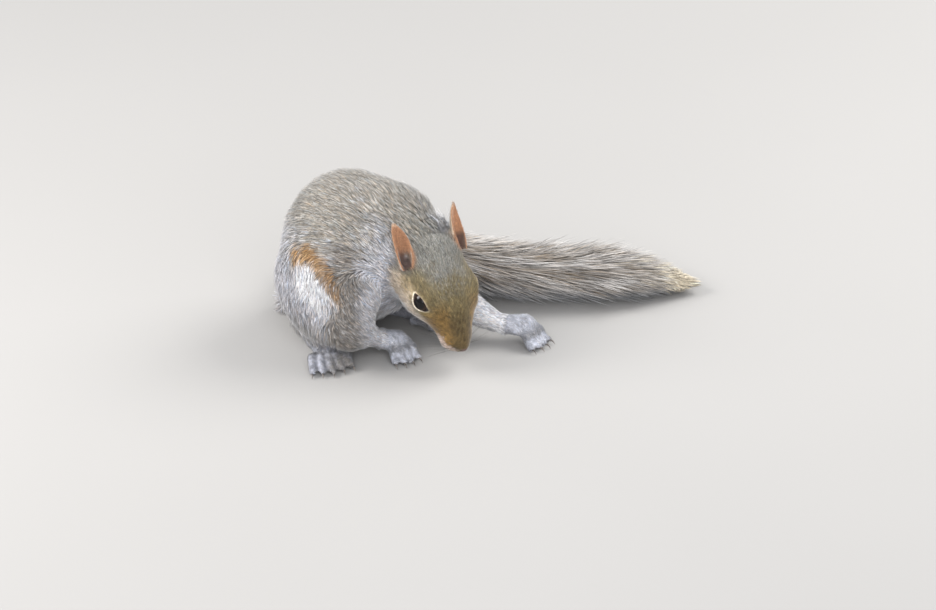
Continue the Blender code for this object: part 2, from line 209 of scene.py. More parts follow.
def line_distance(points: np.ndarray, line: np.ndarray) -> tuple[np.ndarray, np.ndarray]:
    """How far points lie from a line of straight stretches.

    Args:
        points: Rows of points.
        line: Corners of the line.

    Returns:
        The distance of each point, and how far along the line its nearest place is, from 0 to 1.
    """
    best = np.full(len(points), np.inf)
    place = np.zeros(len(points))
    for index, (start, end) in enumerate(zip(line, line[1:])):
        along = end - start
        share = np.clip((points - start) @ along / (along @ along), 0.0, 1.0)
        away = np.linalg.norm(points - start - share[:, None] * along, axis=1)
        closer = away < best
        best = np.where(closer, away, best)
        place = np.where(closer, (index + share) / (len(line) - 1), place)
    return best, place


def waves(points: np.ndarray, size: float, seed: int) -> np.ndarray:
    """A soft random pattern in space, from a few crossed waves.

    Args:
        points: Rows of points.
        size: About how far apart its light places are.
        seed: Picks one pattern of many.

    Returns:
        A value for each point, mostly between -1 and 1.
    """
    chance = np.random.default_rng(seed)
    total = np.zeros(len(points))
    for _ in range(7):
        direction = unit(chance.normal(size=3)) * 2.0 * math.pi / (size * chance.uniform(0.6, 1.5))
        total += np.sin(points @ direction + chance.uniform(0.0, 2.0 * math.pi))
    return total / 2.6


def activate_none() -> None:
    """Leaves nothing selected, so that a new primitive stands alone."""
    for other in bpy.context.selected_objects:
        other.select_set(False)


def activate(made: bpy.types.Object) -> None:
    """Selects one object alone and makes it the active one."""
    activate_none()
    made.select_set(True)
    bpy.context.view_layer.objects.active = made


def apply_modifiers(made: bpy.types.Object) -> None:
    """Applies every modifier of an object."""
    activate(made)
    for modifier in list(made.modifiers):
        bpy.ops.object.modifier_apply(modifier=modifier.name)


def rows_of(items: bpy.types.bpy_prop_collection, name: str, width: int, kind: type = float) -> np.ndarray:
    """One property of every item of a mesh, as rows.

    Args:
        items: The vertices, edges, loops or faces.
        name: The property.
        width: How many numbers it has.
        kind: Their type.

    Returns:
        A row for each item.
    """
    values = np.empty(len(items) * width, kind)
    items.foreach_get(name, values)
    return values.reshape(-1, width)


def points_of(mesh: bpy.types.Mesh) -> np.ndarray:
    """The vertices of a mesh as rows."""
    return rows_of(mesh.vertices, "co", 3)


def normals_of(mesh: bpy.types.Mesh) -> np.ndarray:
    """The vertex normals of a mesh as rows."""
    return rows_of(mesh.vertex_normals, "vector", 3)


def round_lines(name: str, lines: list[tuple[np.ndarray, np.ndarray]], fineness: int) -> bpy.types.Object:
    """Closed round bars along smooth lines, as one mesh.

    Args:
        name: The object's name.
        lines: For each bar, the points of its line and its radius at each.
        fineness: How finely it is rounded: a bar has 4 and twice this number of sides.

    Returns:
        The mesh object.
    """
    drawn = bpy.data.curves.new(name, "CURVE")
    drawn.dimensions = "3D"
    drawn.bevel_depth = 1.0
    drawn.bevel_resolution = fineness
    drawn.use_fill_caps = True
    for points, radii in lines:
        spline = drawn.splines.new("POLY")
        spline.points.add(len(points) - 1)
        for corner, point, radius in zip(spline.points, points, radii):
            corner.co = (*point, 1.0)
            corner.radius = radius
    made = bpy.data.objects.new(name, drawn)
    bpy.context.scene.collection.objects.link(made)
    activate(made)
    bpy.ops.object.convert(target="MESH")
    made = bpy.context.object
    bpy.ops.object.mode_set(mode="EDIT")
    bpy.ops.mesh.select_all(action="SELECT")
    bpy.ops.mesh.remove_doubles(threshold=1e-6)
    bpy.ops.mesh.normals_make_consistent(inside=False)
    bpy.ops.object.mode_set(mode="OBJECT")
    made.data.name = name
    return made


def packed_points(frame: dict, node: str) -> np.ndarray:
    """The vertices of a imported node."""
    return points_of(frame["nodes"][node].data)


@dataclass(frozen=True)
class ClawPlace:
    """Where a packed claw lies: its root, its point and the radius at its root."""

    root: np.ndarray
    tip: np.ndarray
    radius: float

    @classmethod
    def of(cls, frame: dict, node: str) -> "ClawPlace":
        """Measures a packed claw.

        Args:
            node: The claw's name.

        Returns:
            Its place.
        """
        points = packed_points(frame, node)
        middle = points.mean(0)
        along = np.linalg.svd(points - middle)[2][0]
        place = (points - middle) @ along
        cut = (place.max() + place.min()) / 2.0
        spans = [np.ptp(points[place > cut], axis=0).max(), np.ptp(points[place <= cut], axis=0).max()]
        if spans[0] > spans[1]:
            place = -place
        root = points[place < place.min() + 0.1 * np.ptp(place)].mean(0)
        tip = points[place > place.max() - 0.1 * np.ptp(place)].mean(0)
        return cls(root, tip, max(spans) / 2.0)


def digits(kind: str, side: str) -> list[str]:
    """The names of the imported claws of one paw."""
    return ["%s_%s_%d" % (kind, side, number) for number in range(1, 5 if kind == "foreclaw" else 6)]


def centre_of(node: str) -> np.ndarray:
    """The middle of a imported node's box."""
    low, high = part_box(node)
    return (np.array(low) + np.array(high)) / 2.0


def mesh_piece(name: str, points: np.ndarray, faces: np.ndarray) -> bpy.types.Object:
    """A mesh object from arrays.

    Args:
        name: The piece's name.
        points: Rows of vertices.
        faces: Rows of three vertex numbers.

    Returns:
        The object, smooth shaded and in the scene.
    """
    mesh = bpy.data.meshes.new(name)
    mesh.vertices.add(len(points))
    mesh.vertices.foreach_set("co", points.astype(np.float32).ravel())
    mesh.loops.add(faces.size)
    mesh.loops.foreach_set("vertex_index", faces.astype(np.int32).ravel())
    mesh.polygons.add(len(faces))
    mesh.polygons.foreach_set("loop_start", np.arange(0, faces.size, 3, dtype=np.int32))
    mesh.update(calc_edges=True)
    mesh.shade_smooth()
    made = bpy.data.objects.new(name, mesh)
    bpy.context.scene.collection.objects.link(made)
    return made


def colour_points(made: bpy.types.Object, colours: np.ndarray) -> None:
    """Stores a colour for each vertex in the attribute that the coat's materials read."""
    stored = made.data.attributes.new("coat", "FLOAT_COLOR", "POINT")
    rgba = np.ones((len(colours), 4), np.float32)
    rgba[:, :3] = colours
    stored.data.foreach_set("color", rgba.ravel())


def finish_piece(made: bpy.types.Object, material: bpy.types.Material) -> None:
    """Gives a piece its material and the body that it rides on."""
    made.data.materials.clear()
    made.data.materials.append(material)
    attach(made, "root")


# ------------------------------------------------------------------------------------------------ materials
@dataclass(frozen=True)
class CoatFinish:
    """Fur or furred skin, coloured by the markings that its mesh carries."""

    name: str
    roughness: float = 0.62
    sheen: float = 0.4
    bump: float = 0.0
    mottle: float = 0.12

    def make(self) -> bpy.types.Material:
        """The material, with fine mottling on Object coordinates.

        Returns:
            The material.
        """
        material = bpy.data.materials.new(self.name)
        material.use_nodes = True
        nodes, links = material.node_tree.nodes, material.node_tree.links
        shader = nodes["Principled BSDF"]
        marks = nodes.new("ShaderNodeAttribute")
        marks.attribute_name = "coat"
        place = nodes.new("ShaderNodeTexCoord")
        grain = nodes.new("ShaderNodeTexNoise")
        grain.inputs["Scale"].default_value = 900.0
        grain.inputs["Detail"].default_value = 3.0
        links.new(place.outputs["Object"], grain.inputs["Vector"])
        spread = nodes.new("ShaderNodeMapRange")
        spread.inputs["From Min"].default_value = 0.3
        spread.inputs["From Max"].default_value = 0.7
        spread.inputs["To Min"].default_value = 1.0 - self.mottle
        spread.inputs["To Max"].default_value = 1.0 + self.mottle
        links.new(grain.outputs["Fac"], spread.inputs["Value"])
        shaded = nodes.new("ShaderNodeVectorMath")
        shaded.operation = "SCALE"
        links.new(marks.outputs["Color"], shaded.inputs[0])
        links.new(spread.outputs["Result"], shaded.inputs["Scale"])
        links.new(shaded.outputs["Vector"], shader.inputs["Base Color"])
        shader.inputs["Roughness"].default_value = self.roughness
        shader.inputs["Specular IOR Level"].default_value = 0.3
        shader.inputs["Sheen Weight"].default_value = self.sheen
        shader.inputs["Sheen Roughness"].default_value = 0.45
        if self.bump:
            raised = nodes.new("ShaderNodeBump")
            raised.inputs["Strength"].default_value = self.bump
            raised.inputs["Distance"].default_value = 0.2 * MM
            links.new(grain.outputs["Fac"], raised.inputs["Height"])
            links.new(raised.outputs["Normal"], shader.inputs["Normal"])
        return material


@dataclass(frozen=True)
class HornFinish:
    """Claws and whiskers: dark horn with faint streaks."""

    name: str
    dark: Colour
    light: Colour
    roughness: float = 0.32

    def make(self) -> bpy.types.Material:
        """The material, streaked on Object coordinates.

        Returns:
            The material.
        """
        material = bpy.data.materials.new(self.name)
        material.use_nodes = True
        nodes, links = material.node_tree.nodes, material.node_tree.links
        shader = nodes["Principled BSDF"]
        place = nodes.new("ShaderNodeTexCoord")
        streaks = nodes.new("ShaderNodeTexNoise")
        streaks.inputs["Scale"].default_value = 700.0
        ramp = nodes.new("ShaderNodeValToRGB")
        ramp.color_ramp.elements[0].position = 0.35
        ramp.color_ramp.elements[0].color = (*self.dark, 1.0)
        ramp.color_ramp.elements[1].position = 0.7
        ramp.color_ramp.elements[1].color = (*self.light, 1.0)
        links.new(place.outputs["Object"], streaks.inputs["Vector"])
        links.new(streaks.outputs["Fac"], ramp.inputs["Fac"])
        links.new(ramp.outputs["Color"], shader.inputs["Base Color"])
        shader.inputs["Roughness"].default_value = self.roughness
        return material


# -------------------------------------------------------------------------------------------------- anatomy
@dataclass
class Anatomy:
    """Where the parts of the animal lie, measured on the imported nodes.

    Attributes:
        ear_root: Where the left ear grows, in the head's axes, in millimetres.
        ear_along: Which way it points, in the same axes.
        ear_opening: Which way it opens, in the same axes.
        pitch: How far the head hangs, in degrees.
        eye_height: How far the eyes' centres stand out of the middle plane of the head.
        muzzle: How far the nose is from between the eyes.
    """

    frame: dict
    ear_root: tuple[float, float, float] = (16.4, 21.6, 6.1)
    ear_along: tuple[float, float, float] = (0.12, 0.9, 0.4)
    ear_opening: tuple[float, float, float] = (0.38, -0.45, 0.78)
    pitch: float = 48.0
    eye_height: float = 4.0 * MM
    muzzle: float = 31.0 * MM
    eyes: dict[str, np.ndarray] = field(init=False)
    eye_radius: float = field(init=False)
    head: np.ndarray = field(init=False)
    head_middle: np.ndarray = field(init=False)
    tail: np.ndarray = field(init=False)
    spine_x: float = field(init=False)
    hips_y: float = field(init=False)

    def __post_init__(self) -> None:
        """Measures the head's axes, the tail's line and the middle plane of the trunk."""
        self.eyes = {side: centre_of("eye_" + side) for side in SIDES}
        low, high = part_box("eye_left")
        self.eye_radius = float(high[2] - low[2]) / 2.0
        to_left = self.eyes["left"] - self.eyes["right"]
        turn = Euler((math.radians(self.pitch), 0.0, math.atan2(to_left[1], to_left[0])))
        self.head = np.array(turn.to_matrix()).T
        between = (self.eyes["left"] + self.eyes["right"]) / 2.0
        self.head_middle = between - self.head[2] * self.eye_height
        self.spine_x, self.hips_y = ((centre_of("hindleg_left") + centre_of("hindleg_right")) / 2.0)[:2]
        self.tail = self.tail_rows()

    def in_head(self, points: np.ndarray) -> np.ndarray:
        """Points in the head's axes, in millimetres: to its left, back from the nose and out of the brow."""
        return (points - self.head_middle) @ self.head.T / MM

    def in_half_head(self, points: np.ndarray) -> np.ndarray:
        """Points in the head's axes with its right half folded onto the left one, in millimetres."""
        local = self.in_head(points)
        local[:, 0] = np.abs(local[:, 0])
        return local

    def from_head(self, x: float, y: float, z: float) -> np.ndarray:
        """A point given in the head's axes in millimetres."""
        return self.head_middle + np.array((x, y, z)) * MM @ self.head

    def ear_hollow(self, points: np.ndarray) -> np.ndarray:
        """How deep inside the hollow of an ear each point lies, from 0 outside to 1 at its root."""
        along, opening = unit(np.array(self.ear_along)), unit(np.array(self.ear_opening))
        start = np.array(self.ear_root) + 1.7 * opening
        hollow = np.array((start - 2.0 * along, start + 8.0 * along))
        away, place = line_distance(self.in_half_head(points), hollow)
        return ease(3.3, 2.3, away) * ease(1.0, 0.5, place)

    def behind_ear(self, points: np.ndarray) -> np.ndarray:
        """How near each point lies to the pale tuft behind an ear, from 0 to 1."""
        offset = self.in_half_head(points) - np.array(self.ear_root)
        opening = unit(np.array(self.ear_opening))
        middle = 2.5 * unit(np.array(self.ear_along)) - 4.0 * opening - (2.0, 0.0, 0.0)
        away = np.linalg.norm((offset - middle) / (4.6, 6.5, 5.5), axis=1)
        return ease(1.2, 0.75, away) * ease(0.0, -2.0, offset @ opening)

    def digit(self, node: str) -> tuple[np.ndarray, np.ndarray]:
        """The flesh of one finger or toe, from inside the paw to the root of its claw.

        Args:
            node: The name of its claw.

        Returns:
            The points of its line and its radius at each.
        """
        kind, side, _ = node.split("_")
        place = ClawPlace.of(self.frame, node)
        fore = kind == "foreclaw"
        palm = centre_of(("forepaw_" if fore else "hindfoot_") + side)
        back = unit((palm - place.root) * (1.0, 1.0, 0.0)) * (7.5 if fore else 11.0) * MM
        heading = unit((place.tip - place.root) * (1.0, 1.0, 0.0))
        back = 0.5 * back - 0.5 * heading * np.linalg.norm(back)
        heights = np.array((4.6, 4.9, 3.9, 2.6, 2.0)) * MM
        shares = np.array((1.0, 0.72, 0.4, 0.08, -0.16))
        points = place.root + back * shares[:, None]
        points[:, 2] = heights
        thick = np.array((2.0, 2.25, 2.1, 2.3, 1.3)) * (0.92 if fore else 1.0) * MM
        return points, thick

    def from_tail_root(self, points: np.ndarray) -> np.ndarray:
        """How far each point lies from the root of the tail."""
        rows, _ = self.tail_at(np.zeros(1))
        return np.linalg.norm(points - rows[0, :3], axis=1)

    def tail_rows(self, slices: int = 5) -> np.ndarray:
        """Measures the tail.

        Args:
            slices: How many slices each node of the tail is cut into.

        Returns:
            A row for each slice: its middle, half width and half height, from root to tip.
        """
        lengths = [packed_points(self.frame, "tail_%d" % number) for number in range(1, 6)]
        middles = [points.mean(0) for points in lengths]
        rows = []
        for index, points in enumerate(lengths):
            along = middles[min(index + 1, 4)] - middles[max(index - 1, 0)]
            along = unit(along * (1.0, 1.0, 0.0))
            across = np.array((-along[1], along[0], 0.0))
            place = points @ along
            edges = np.linspace(place.min(), place.max(), slices + 1)
            for low, high in zip(edges, edges[1:]):
                ring = points[(place >= low - 1e-6) & (place <= high + 1e-6)]
                if len(ring) < 6:
                    continue
                out = ring @ across
                middle = (ring.max(0) + ring.min(0)) / 2.0
                middle += across * ((out.max() + out.min()) / 2.0 - middle @ across)
                rows.append((*middle[:2], ring[:, 2].max() / 2.0, np.ptp(out) / 2.0, ring[:, 2].max() / 2.0))
        rows = np.array(rows)
        for _ in range(3):
            rows[1:-1] = (rows[:-2] + 2.0 * rows[1:-1] + rows[2:]) / 4.0
        return rows

    def tail_at(self, share: np.ndarray) -> tuple[np.ndarray, np.ndarray]:
        """The tail's line at shares of its length, which may run a little past its tip.

        Args:
            share: From 0 at the root to 1 at the tip.

        Returns:
            Rows of middle, half width and half height, and the unit direction towards the tip at each.
        """
        steps = np.linalg.norm(np.diff(self.tail[:, :2], axis=0), axis=1)
        place = np.concatenate(((0.0,), np.cumsum(steps))) / steps.sum()
        inside = np.clip(share, 0.0, 1.0)
        rows = np.stack([np.interp(inside, place, column) for column in self.tail.T], axis=1)
        ahead = np.stack([np.interp(inside + 0.03, place, self.tail[:, axis]) for axis in (0, 1)], axis=1)
        behind = np.stack([np.interp(inside - 0.03, place, self.tail[:, axis]) for axis in (0, 1)], axis=1)
        along = unit(np.concatenate((ahead - behind, np.zeros((len(rows), 1))), axis=1))
        rows[:, :3] += along * ((share - inside) * steps.sum())[:, None]
        return rows, along


# ------------------------------------------------------------------------------------------------- markings
@dataclass
class Markings:
    """The colours of the coat, as soft marks placed on the body.

    Attributes:
        anatomy: Where the parts lie.
    """

    anatomy: Anatomy

    def mirrored(self, points: np.ndarray) -> np.ndarray:
        """Points with the body's left half folded onto its right, in millimetres from its middle plane."""
        folded = (points - (self.anatomy.spine_x, self.anatomy.hips_y, 0.0)) / MM
        folded[:, 0] = -np.abs(folded[:, 0])
        return folded

    def body(self, points: np.ndarray, normals: np.ndarray) -> np.ndarray:
        """Colours of the trunk, neck and thighs, with painted shade low on the body.

        Args:
            points: Places on the skin.
            normals: Its outward directions there.

        Returns:
            A linear colour for each place.
        """
        place = self.mirrored(points)
        colour = np.tile(PALETTE.olive, (len(points), 1))
        fine = 5.0 * waves(points, 4 * MM, 11)
        height = place[:, 2] + 6.0 * waves(points, 30 * MM, 1) + fine
        colour = mixed(colour, PALETTE.lavender, 0.95 * ease(72.0, 44.0, height))
        to_nape = np.linalg.norm(self.anatomy.in_head(points) - (0.0, 19.0, 8.0), axis=1) + 0.6 * fine
        colour = mixed(colour, PALETTE.crown, 0.5 * ease(25.0, 13.0, to_nape))
        # painted shade: the body grows darker low down, towards the floor
        colour = mixed(colour, PALETTE.umber, 0.85 * ease(35.0, 17.0, place[:, 2] + 0.5 * fine))
        under = ease(-0.25, -0.75, normals[:, 2]) * ease(30.0, 18.0, place[:, 2])
        colour = mixed(colour, PALETTE.white, under)
        return colour

    def flank(self, points: np.ndarray, colour: np.ndarray) -> np.ndarray:
        """Adds painted shade in the fold before each thigh, the orange patch over it and the white panel down
        its front.

        Args:
            points: Places on the skin.
            colour: The colours so far.

        Returns:
            The colours with the marks on them.
        """
        place = self.mirrored(points)
        panel = np.array(((-38, -4, 51), (-38.5, -9, 44), (-37, -13, 39), (-37, -15.5, 35)))
        rim = np.array(
            ((-37, 2, 59), (-33.6, -4, 58.5), (-31, -10.5, 55.5), (-30, -14.5, 49.5), (-30.5, -17.5, 42))
        )
        fold = np.array(((-22, -22, 57), (-24.5, -21, 49), (-29, -22, 37), (-33, -27, 22), (-34, -28, 8)))
        wobble = 1.1 * waves(points, 9 * MM, 2) + 0.9 * waves(points, 2.4 * MM, 12)
        # painted shade: the fold before each thigh is darkened
        fold_shade_away, _ = line_distance(place, fold)
        colour = mixed(colour, PALETTE.umber, 0.92 * ease(12.5, 4.0, fold_shade_away + wobble))
        to_rim, along_rim = line_distance(place, rim)
        strength = ease(8.8 - 3.0 * along_rim, 3.0, to_rim + wobble) * (1.0 - 0.45 * along_rim)
        colour = mixed(colour, PALETTE.orange, 0.97 * strength)
        to_panel, down_panel = line_distance(place, panel)
        strength = ease(8.8, 4.4, to_panel + 0.8 * wobble) * (1.0 - 0.12 * down_panel)
        return mixed(colour, PALETTE.white, 0.96 * strength)

    def face(self, points: np.ndarray) -> np.ndarray:
        """Colours of the head.

        Args:
            points: Places on the skin.

        Returns:
            A linear colour for each place.
        """
        half = self.anatomy.in_half_head(points)
        aside, back, height = half.T
        wobble = 1.8 * waves(points, 11 * MM, 3) + 2.4 * waves(points, 2.2 * MM, 13)
        colour = np.tile(PALETTE.crown, (len(points), 1))
        colour = mixed(colour, PALETTE.ochre, ease(15.0, -10.0, back + 1.6 * wobble))
        temple = ease(8.0, 15.0, aside + 0.5 * wobble) * ease(20.0, 8.0, back)
        colour = mixed(colour, PALETTE.ochre, 0.9 * temple)
        bridge = ease(-9.0, -22.0, back + wobble) * ease(-6.0, 0.0, height)
        colour = mixed(colour, PALETTE.rust, 0.9 * bridge)
        side = ease(-4.0, -14.0, back) * ease(4.0, 8.5, aside + 0.5 * wobble) * ease(-32.0, -24.0, back)
        colour = mixed(colour, PALETTE.amber, 0.85 * side)
        behind_eye = np.linalg.norm((half - (15, 9, -2)) / (9, 8, 6), axis=1)
        colour = mixed(colour, PALETTE.fawn, 0.75 * ease(1.3, 0.5, behind_eye + 0.05 * wobble))
        low = height - 0.07 * back + 0.5 * wobble
        colour = mixed(colour, PALETTE.cheek, 0.95 * ease(1.0, -3.5, low) * ease(-18.0, -10.0, back))
        colour = mixed(colour, PALETTE.white, 0.85 * ease(-5.5, -10.0, height + 0.6 * wobble))
        lips = np.linalg.norm((half - (6.0, -23.5, -4.6)) / (5.5, 6.0, 3.2), axis=1)
        colour = mixed(colour, PALETTE.lip, 0.9 * ease(1.15, 0.75, lips + 0.06 * wobble))
        nose_place = (0.0, -self.anatomy.muzzle / MM + 0.2, -1.8)
        nose = np.linalg.norm((half - nose_place) / (3.0, 2.4, 2.4), axis=1)
        colour = mixed(colour, PALETTE.nose, 0.9 * ease(1.15, 0.85, nose))
        speckle = 0.10 * waves(points, 1.7 * MM, 17) + 0.06 * waves(points, 5.0 * MM, 18)
        return colour * (1.0 + speckle)[:, None]

    def eye_rings(self, points: np.ndarray, colour: np.ndarray) -> np.ndarray:
        """Adds the pale ring around each eye, painted shade in the crease above it and the dark edge of the
        lids.

        Args:
            points: Places on the skin.
            colour: The colours so far.

        Returns:
            The colours with the rings on them.
        """
        for side, sign in SIDES.items():
            opening = EyeOpening(self.anatomy, side)
            beyond = opening.beyond(points) / MM
            local = (points - opening.centre()) @ opening.axes().T / self.anatomy.eye_radius
            upper = ease(-0.15, 0.3, sign * local[:, 2])
            nearer = ease(-0.5, -0.95, local[:, 1])
            tone = mixed(np.tile(PALETTE.cream, (len(points), 1)), PALETTE.tan, 0.8 * upper)
            edge = 1.25 - 0.3 * upper + 0.1 * waves(points, 1.5 * MM, 14)
            strength = ease(edge + 0.3, edge - 0.2, beyond) * (1.0 - 0.75 * nearer)
            # painted shade: a dark line in the crease above each eye
            crease_shade = ease(1.0, 0.0, np.abs(beyond - 2.2)) * upper
            colour = mixed(colour, PALETTE.rust, 0.5 * crease_shade)
            colour = colour + (tone - colour) * (0.95 * strength)[:, None]
            colour = mixed(colour, PALETTE.lid, ease(0.5, 0.3, beyond))
        return colour

    def ears(self, points: np.ndarray, normals: np.ndarray) -> np.ndarray:
        """Colours of the ears: warm skin in the hollow, a pale rim, and fur behind.

        Args:
            points: Places on the skin.
            normals: Its outward directions there.

        Returns:
            A linear colour for each place.
        """
        colour = np.tile(PALETTE.ear, (len(points), 1))
        for side, sign in SIDES.items():
            low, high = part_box("ear_" + side)
            share = (points[:, 2] - low[2]) / (high[2] - low[2])
            near = np.abs(points[:, 0] - (low[0] + high[0]) / 2.0) < 15 * MM
            opening = unit(np.array(self.anatomy.ear_opening) * (sign, 1.0, 1.0))
            facing = normals @ (opening @ self.anatomy.head)
            colour = mixed(colour, PALETTE.ear_back, near * 0.9 * ease(-0.1, -0.5, facing))
            rim = np.maximum(ease(0.5, 0.15, np.abs(facing)), ease(0.86, 1.0, share))
            colour = mixed(colour, PALETTE.ear_rim, near * 0.8 * rim)
        return colour

    def ear_tufts(self, points: np.ndarray, colour: np.ndarray, ear: np.ndarray) -> np.ndarray:
        """Adds painted shade deep in the hollow of each ear and the pale tuft behind its root.

        Args:
            points: Places on the skin.
            colour: The colours so far.
            ear: How much of each place belongs to an ear.

        Returns:
            The colours with the marks on them.
        """
        colour = mixed(colour, PALETTE.white, self.anatomy.behind_ear(points) * ease(0.6, 0.2, ear))
        # painted shade: the deep hollow of each ear is darkened
        return mixed(colour, PALETTE.ear_shade, 0.9 * self.anatomy.ear_hollow(points))

    def paws(self, points: np.ndarray, hind: np.ndarray) -> np.ndarray:
        """Colours of the paws and feet: pale digits, with painted shade between them.

        Args:
            points: Places on the skin.
            hind: 1 on a hind foot and 0 on a fore paw.

        Returns:
            A linear colour for each place.
        """
        # the hind feet are darker than the fore paws, partly their own tone and partly painted shade
        colour = mixed(np.tile(PALETTE.paw, (len(points), 1)), PALETTE.foot, hind)
        nearest = np.full(len(points), np.inf)
        for kind in ("foreclaw", "hindclaw"):
            for side in SIDES:
                for node in digits(kind, side):
                    away, _ = line_distance(points, self.anatomy.digit(node)[0])
                    nearest = np.minimum(nearest, away)
        # painted shade: the clefts between the digits are darkened
        cleft = ease(1.7 * MM, 2.5 * MM, nearest) * ease(6.0 * MM, 3.4 * MM, nearest)
        colour = mixed(colour, PALETTE.slate, 0.7 * cleft)
        return colour * (1.0 + 0.16 * waves(points, 4 * MM, 5))[:, None]

    def legs(self, points: np.ndarray, normals: np.ndarray) -> np.ndarray:
        """Colours of the fore legs: pale, with painted shade on the outer side and whiter on the inside."""
        colour = mixed(np.tile(PALETTE.lavender, (len(points), 1)), PALETTE.white, np.full(len(points), 0.4))
        place = self.mirrored(points)
        # painted shade: the outer side of each fore leg, towards the flank, is darkened
        outer = ease(-9.0, -22.0, place[:, 0]) * ease(-42.0, -34.0, place[:, 1])
        colour = mixed(colour, PALETTE.dusk, 0.42 * outer)
        side = np.sign(points[:, 0] - self.anatomy.spine_x)
        return mixed(colour, PALETTE.white, 0.85 * ease(0.0, 0.6, -side * normals[:, 0]))

    def at(self, points: np.ndarray, normals: np.ndarray, shares: dict[Part, np.ndarray]) -> np.ndarray:
        """The colour of the coat anywhere on the skin.

        Args:
            points: Places on the skin.
            normals: Its outward directions there.
            shares: How much of each part of the body there is in each place.

        Returns:
            A linear colour for each place.
        """
        body = self.body(points, normals)
        total = body * (shares[Part.TRUNK] + shares[Part.NECK] + shares[Part.HINDLEG])[:, None]
        total += self.face(points) * shares[Part.HEAD][:, None]
        total += self.ears(points, normals) * shares[Part.EAR][:, None]
        total += self.legs(points, normals) * shares[Part.FORELEG][:, None]
        hind = (shares[Part.HINDFOOT] > shares[Part.FOREPAW]).astype(float)
        total += self.paws(points, hind) * (shares[Part.FOREPAW] + shares[Part.HINDFOOT])[:, None]
        near_root = ease(45 * MM, 20 * MM, self.anatomy.from_tail_root(points))
        tail = mixed(np.tile(PALETTE.tail_brown, (len(points), 1)), PALETTE.lavender, near_root)
        total += tail * shares[Part.TAIL][:, None]
        total = self.ear_tufts(points, self.flank(points, total), shares[Part.EAR])
        total = self.eye_rings(points, total)
        speckle = 0.16 * waves(points, 1.5 * MM, 31) * (shares[Part.HEAD] + 0.5 * shares[Part.TRUNK])
        mottle = 0.06 * waves(points, 7 * MM, 4) + 0.07 * waves(points, 2.6 * MM, 15)
        return total * (1.0 + mottle + speckle)[:, None]


# ----------------------------------------------------------------------------------------------------- eyes
@dataclass
class EyeOpening:
    """The almond between the lids of one eye, and the skin around it.

    Attributes:
        anatomy: Where the parts lie.
        side: "left" or "right".
        half_length: Half the opening's length as a share of the eye's radius.
        half_height: Half its height as a share of the radius.
        sink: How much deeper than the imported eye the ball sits.
    """

    anatomy: Anatomy
    side: str
    half_length: float = 0.93
    half_height: float = 0.47
    sink: float = 0.9 * MM

    def centre(self) -> np.ndarray:
        """The middle of the eyeball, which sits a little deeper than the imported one."""
        return self.anatomy.eyes[self.side] - self.axes()[0] * self.sink

    def axes(self) -> np.ndarray:
        """Rows: out of the eye, along the opening towards the ear, and across it."""
        sign = SIDES[self.side]
        head = self.anatomy.head
        outward = unit(head.T @ np.array((sign * 0.93, -0.18, 0.36)))
        along = head.T @ np.array((sign * 0.1, 0.92, -0.15))
        along = unit(along - outward * (along @ outward))
        return np.array((outward, along, np.cross(outward, along)))

    def ring(self, points: np.ndarray) -> tuple[np.ndarray, np.ndarray]:
        """How many times further out than the edge of the opening each point lies.

        Args:
            points: Rows of points.

        Returns:
            The ring number, 1 on the lids' edge, and the distance from the eye's centre.
        """
        offset = points - self.centre()
        away = np.linalg.norm(offset, axis=1)
        local = offset @ self.axes().T / self.anatomy.eye_radius
        along, across = np.abs(local[:, 1]) / self.half_length, np.abs(local[:, 2]) / self.half_height
        ring = (along**1.7 + across**1.7) ** (1.0 / 1.7)
        behind = local[:, 0] < -0.1
        far = away > 2.6 * self.anatomy.eye_radius
        return np.where(behind | far, 9.0, ring), away

    def beyond(self, points: np.ndarray) -> np.ndarray:
        """How far outside the edge of the opening each point lies, or a metre where it isn't near the eye."""
        ring, _ = self.ring(points)
        local = (points - self.centre()) @ self.axes().T
        aside = np.linalg.norm(local[:, 1:], axis=1)
        return np.where(ring < 8.0, aside * (1.0 - 1.0 / np.maximum(ring, 0.1)), 1.0)


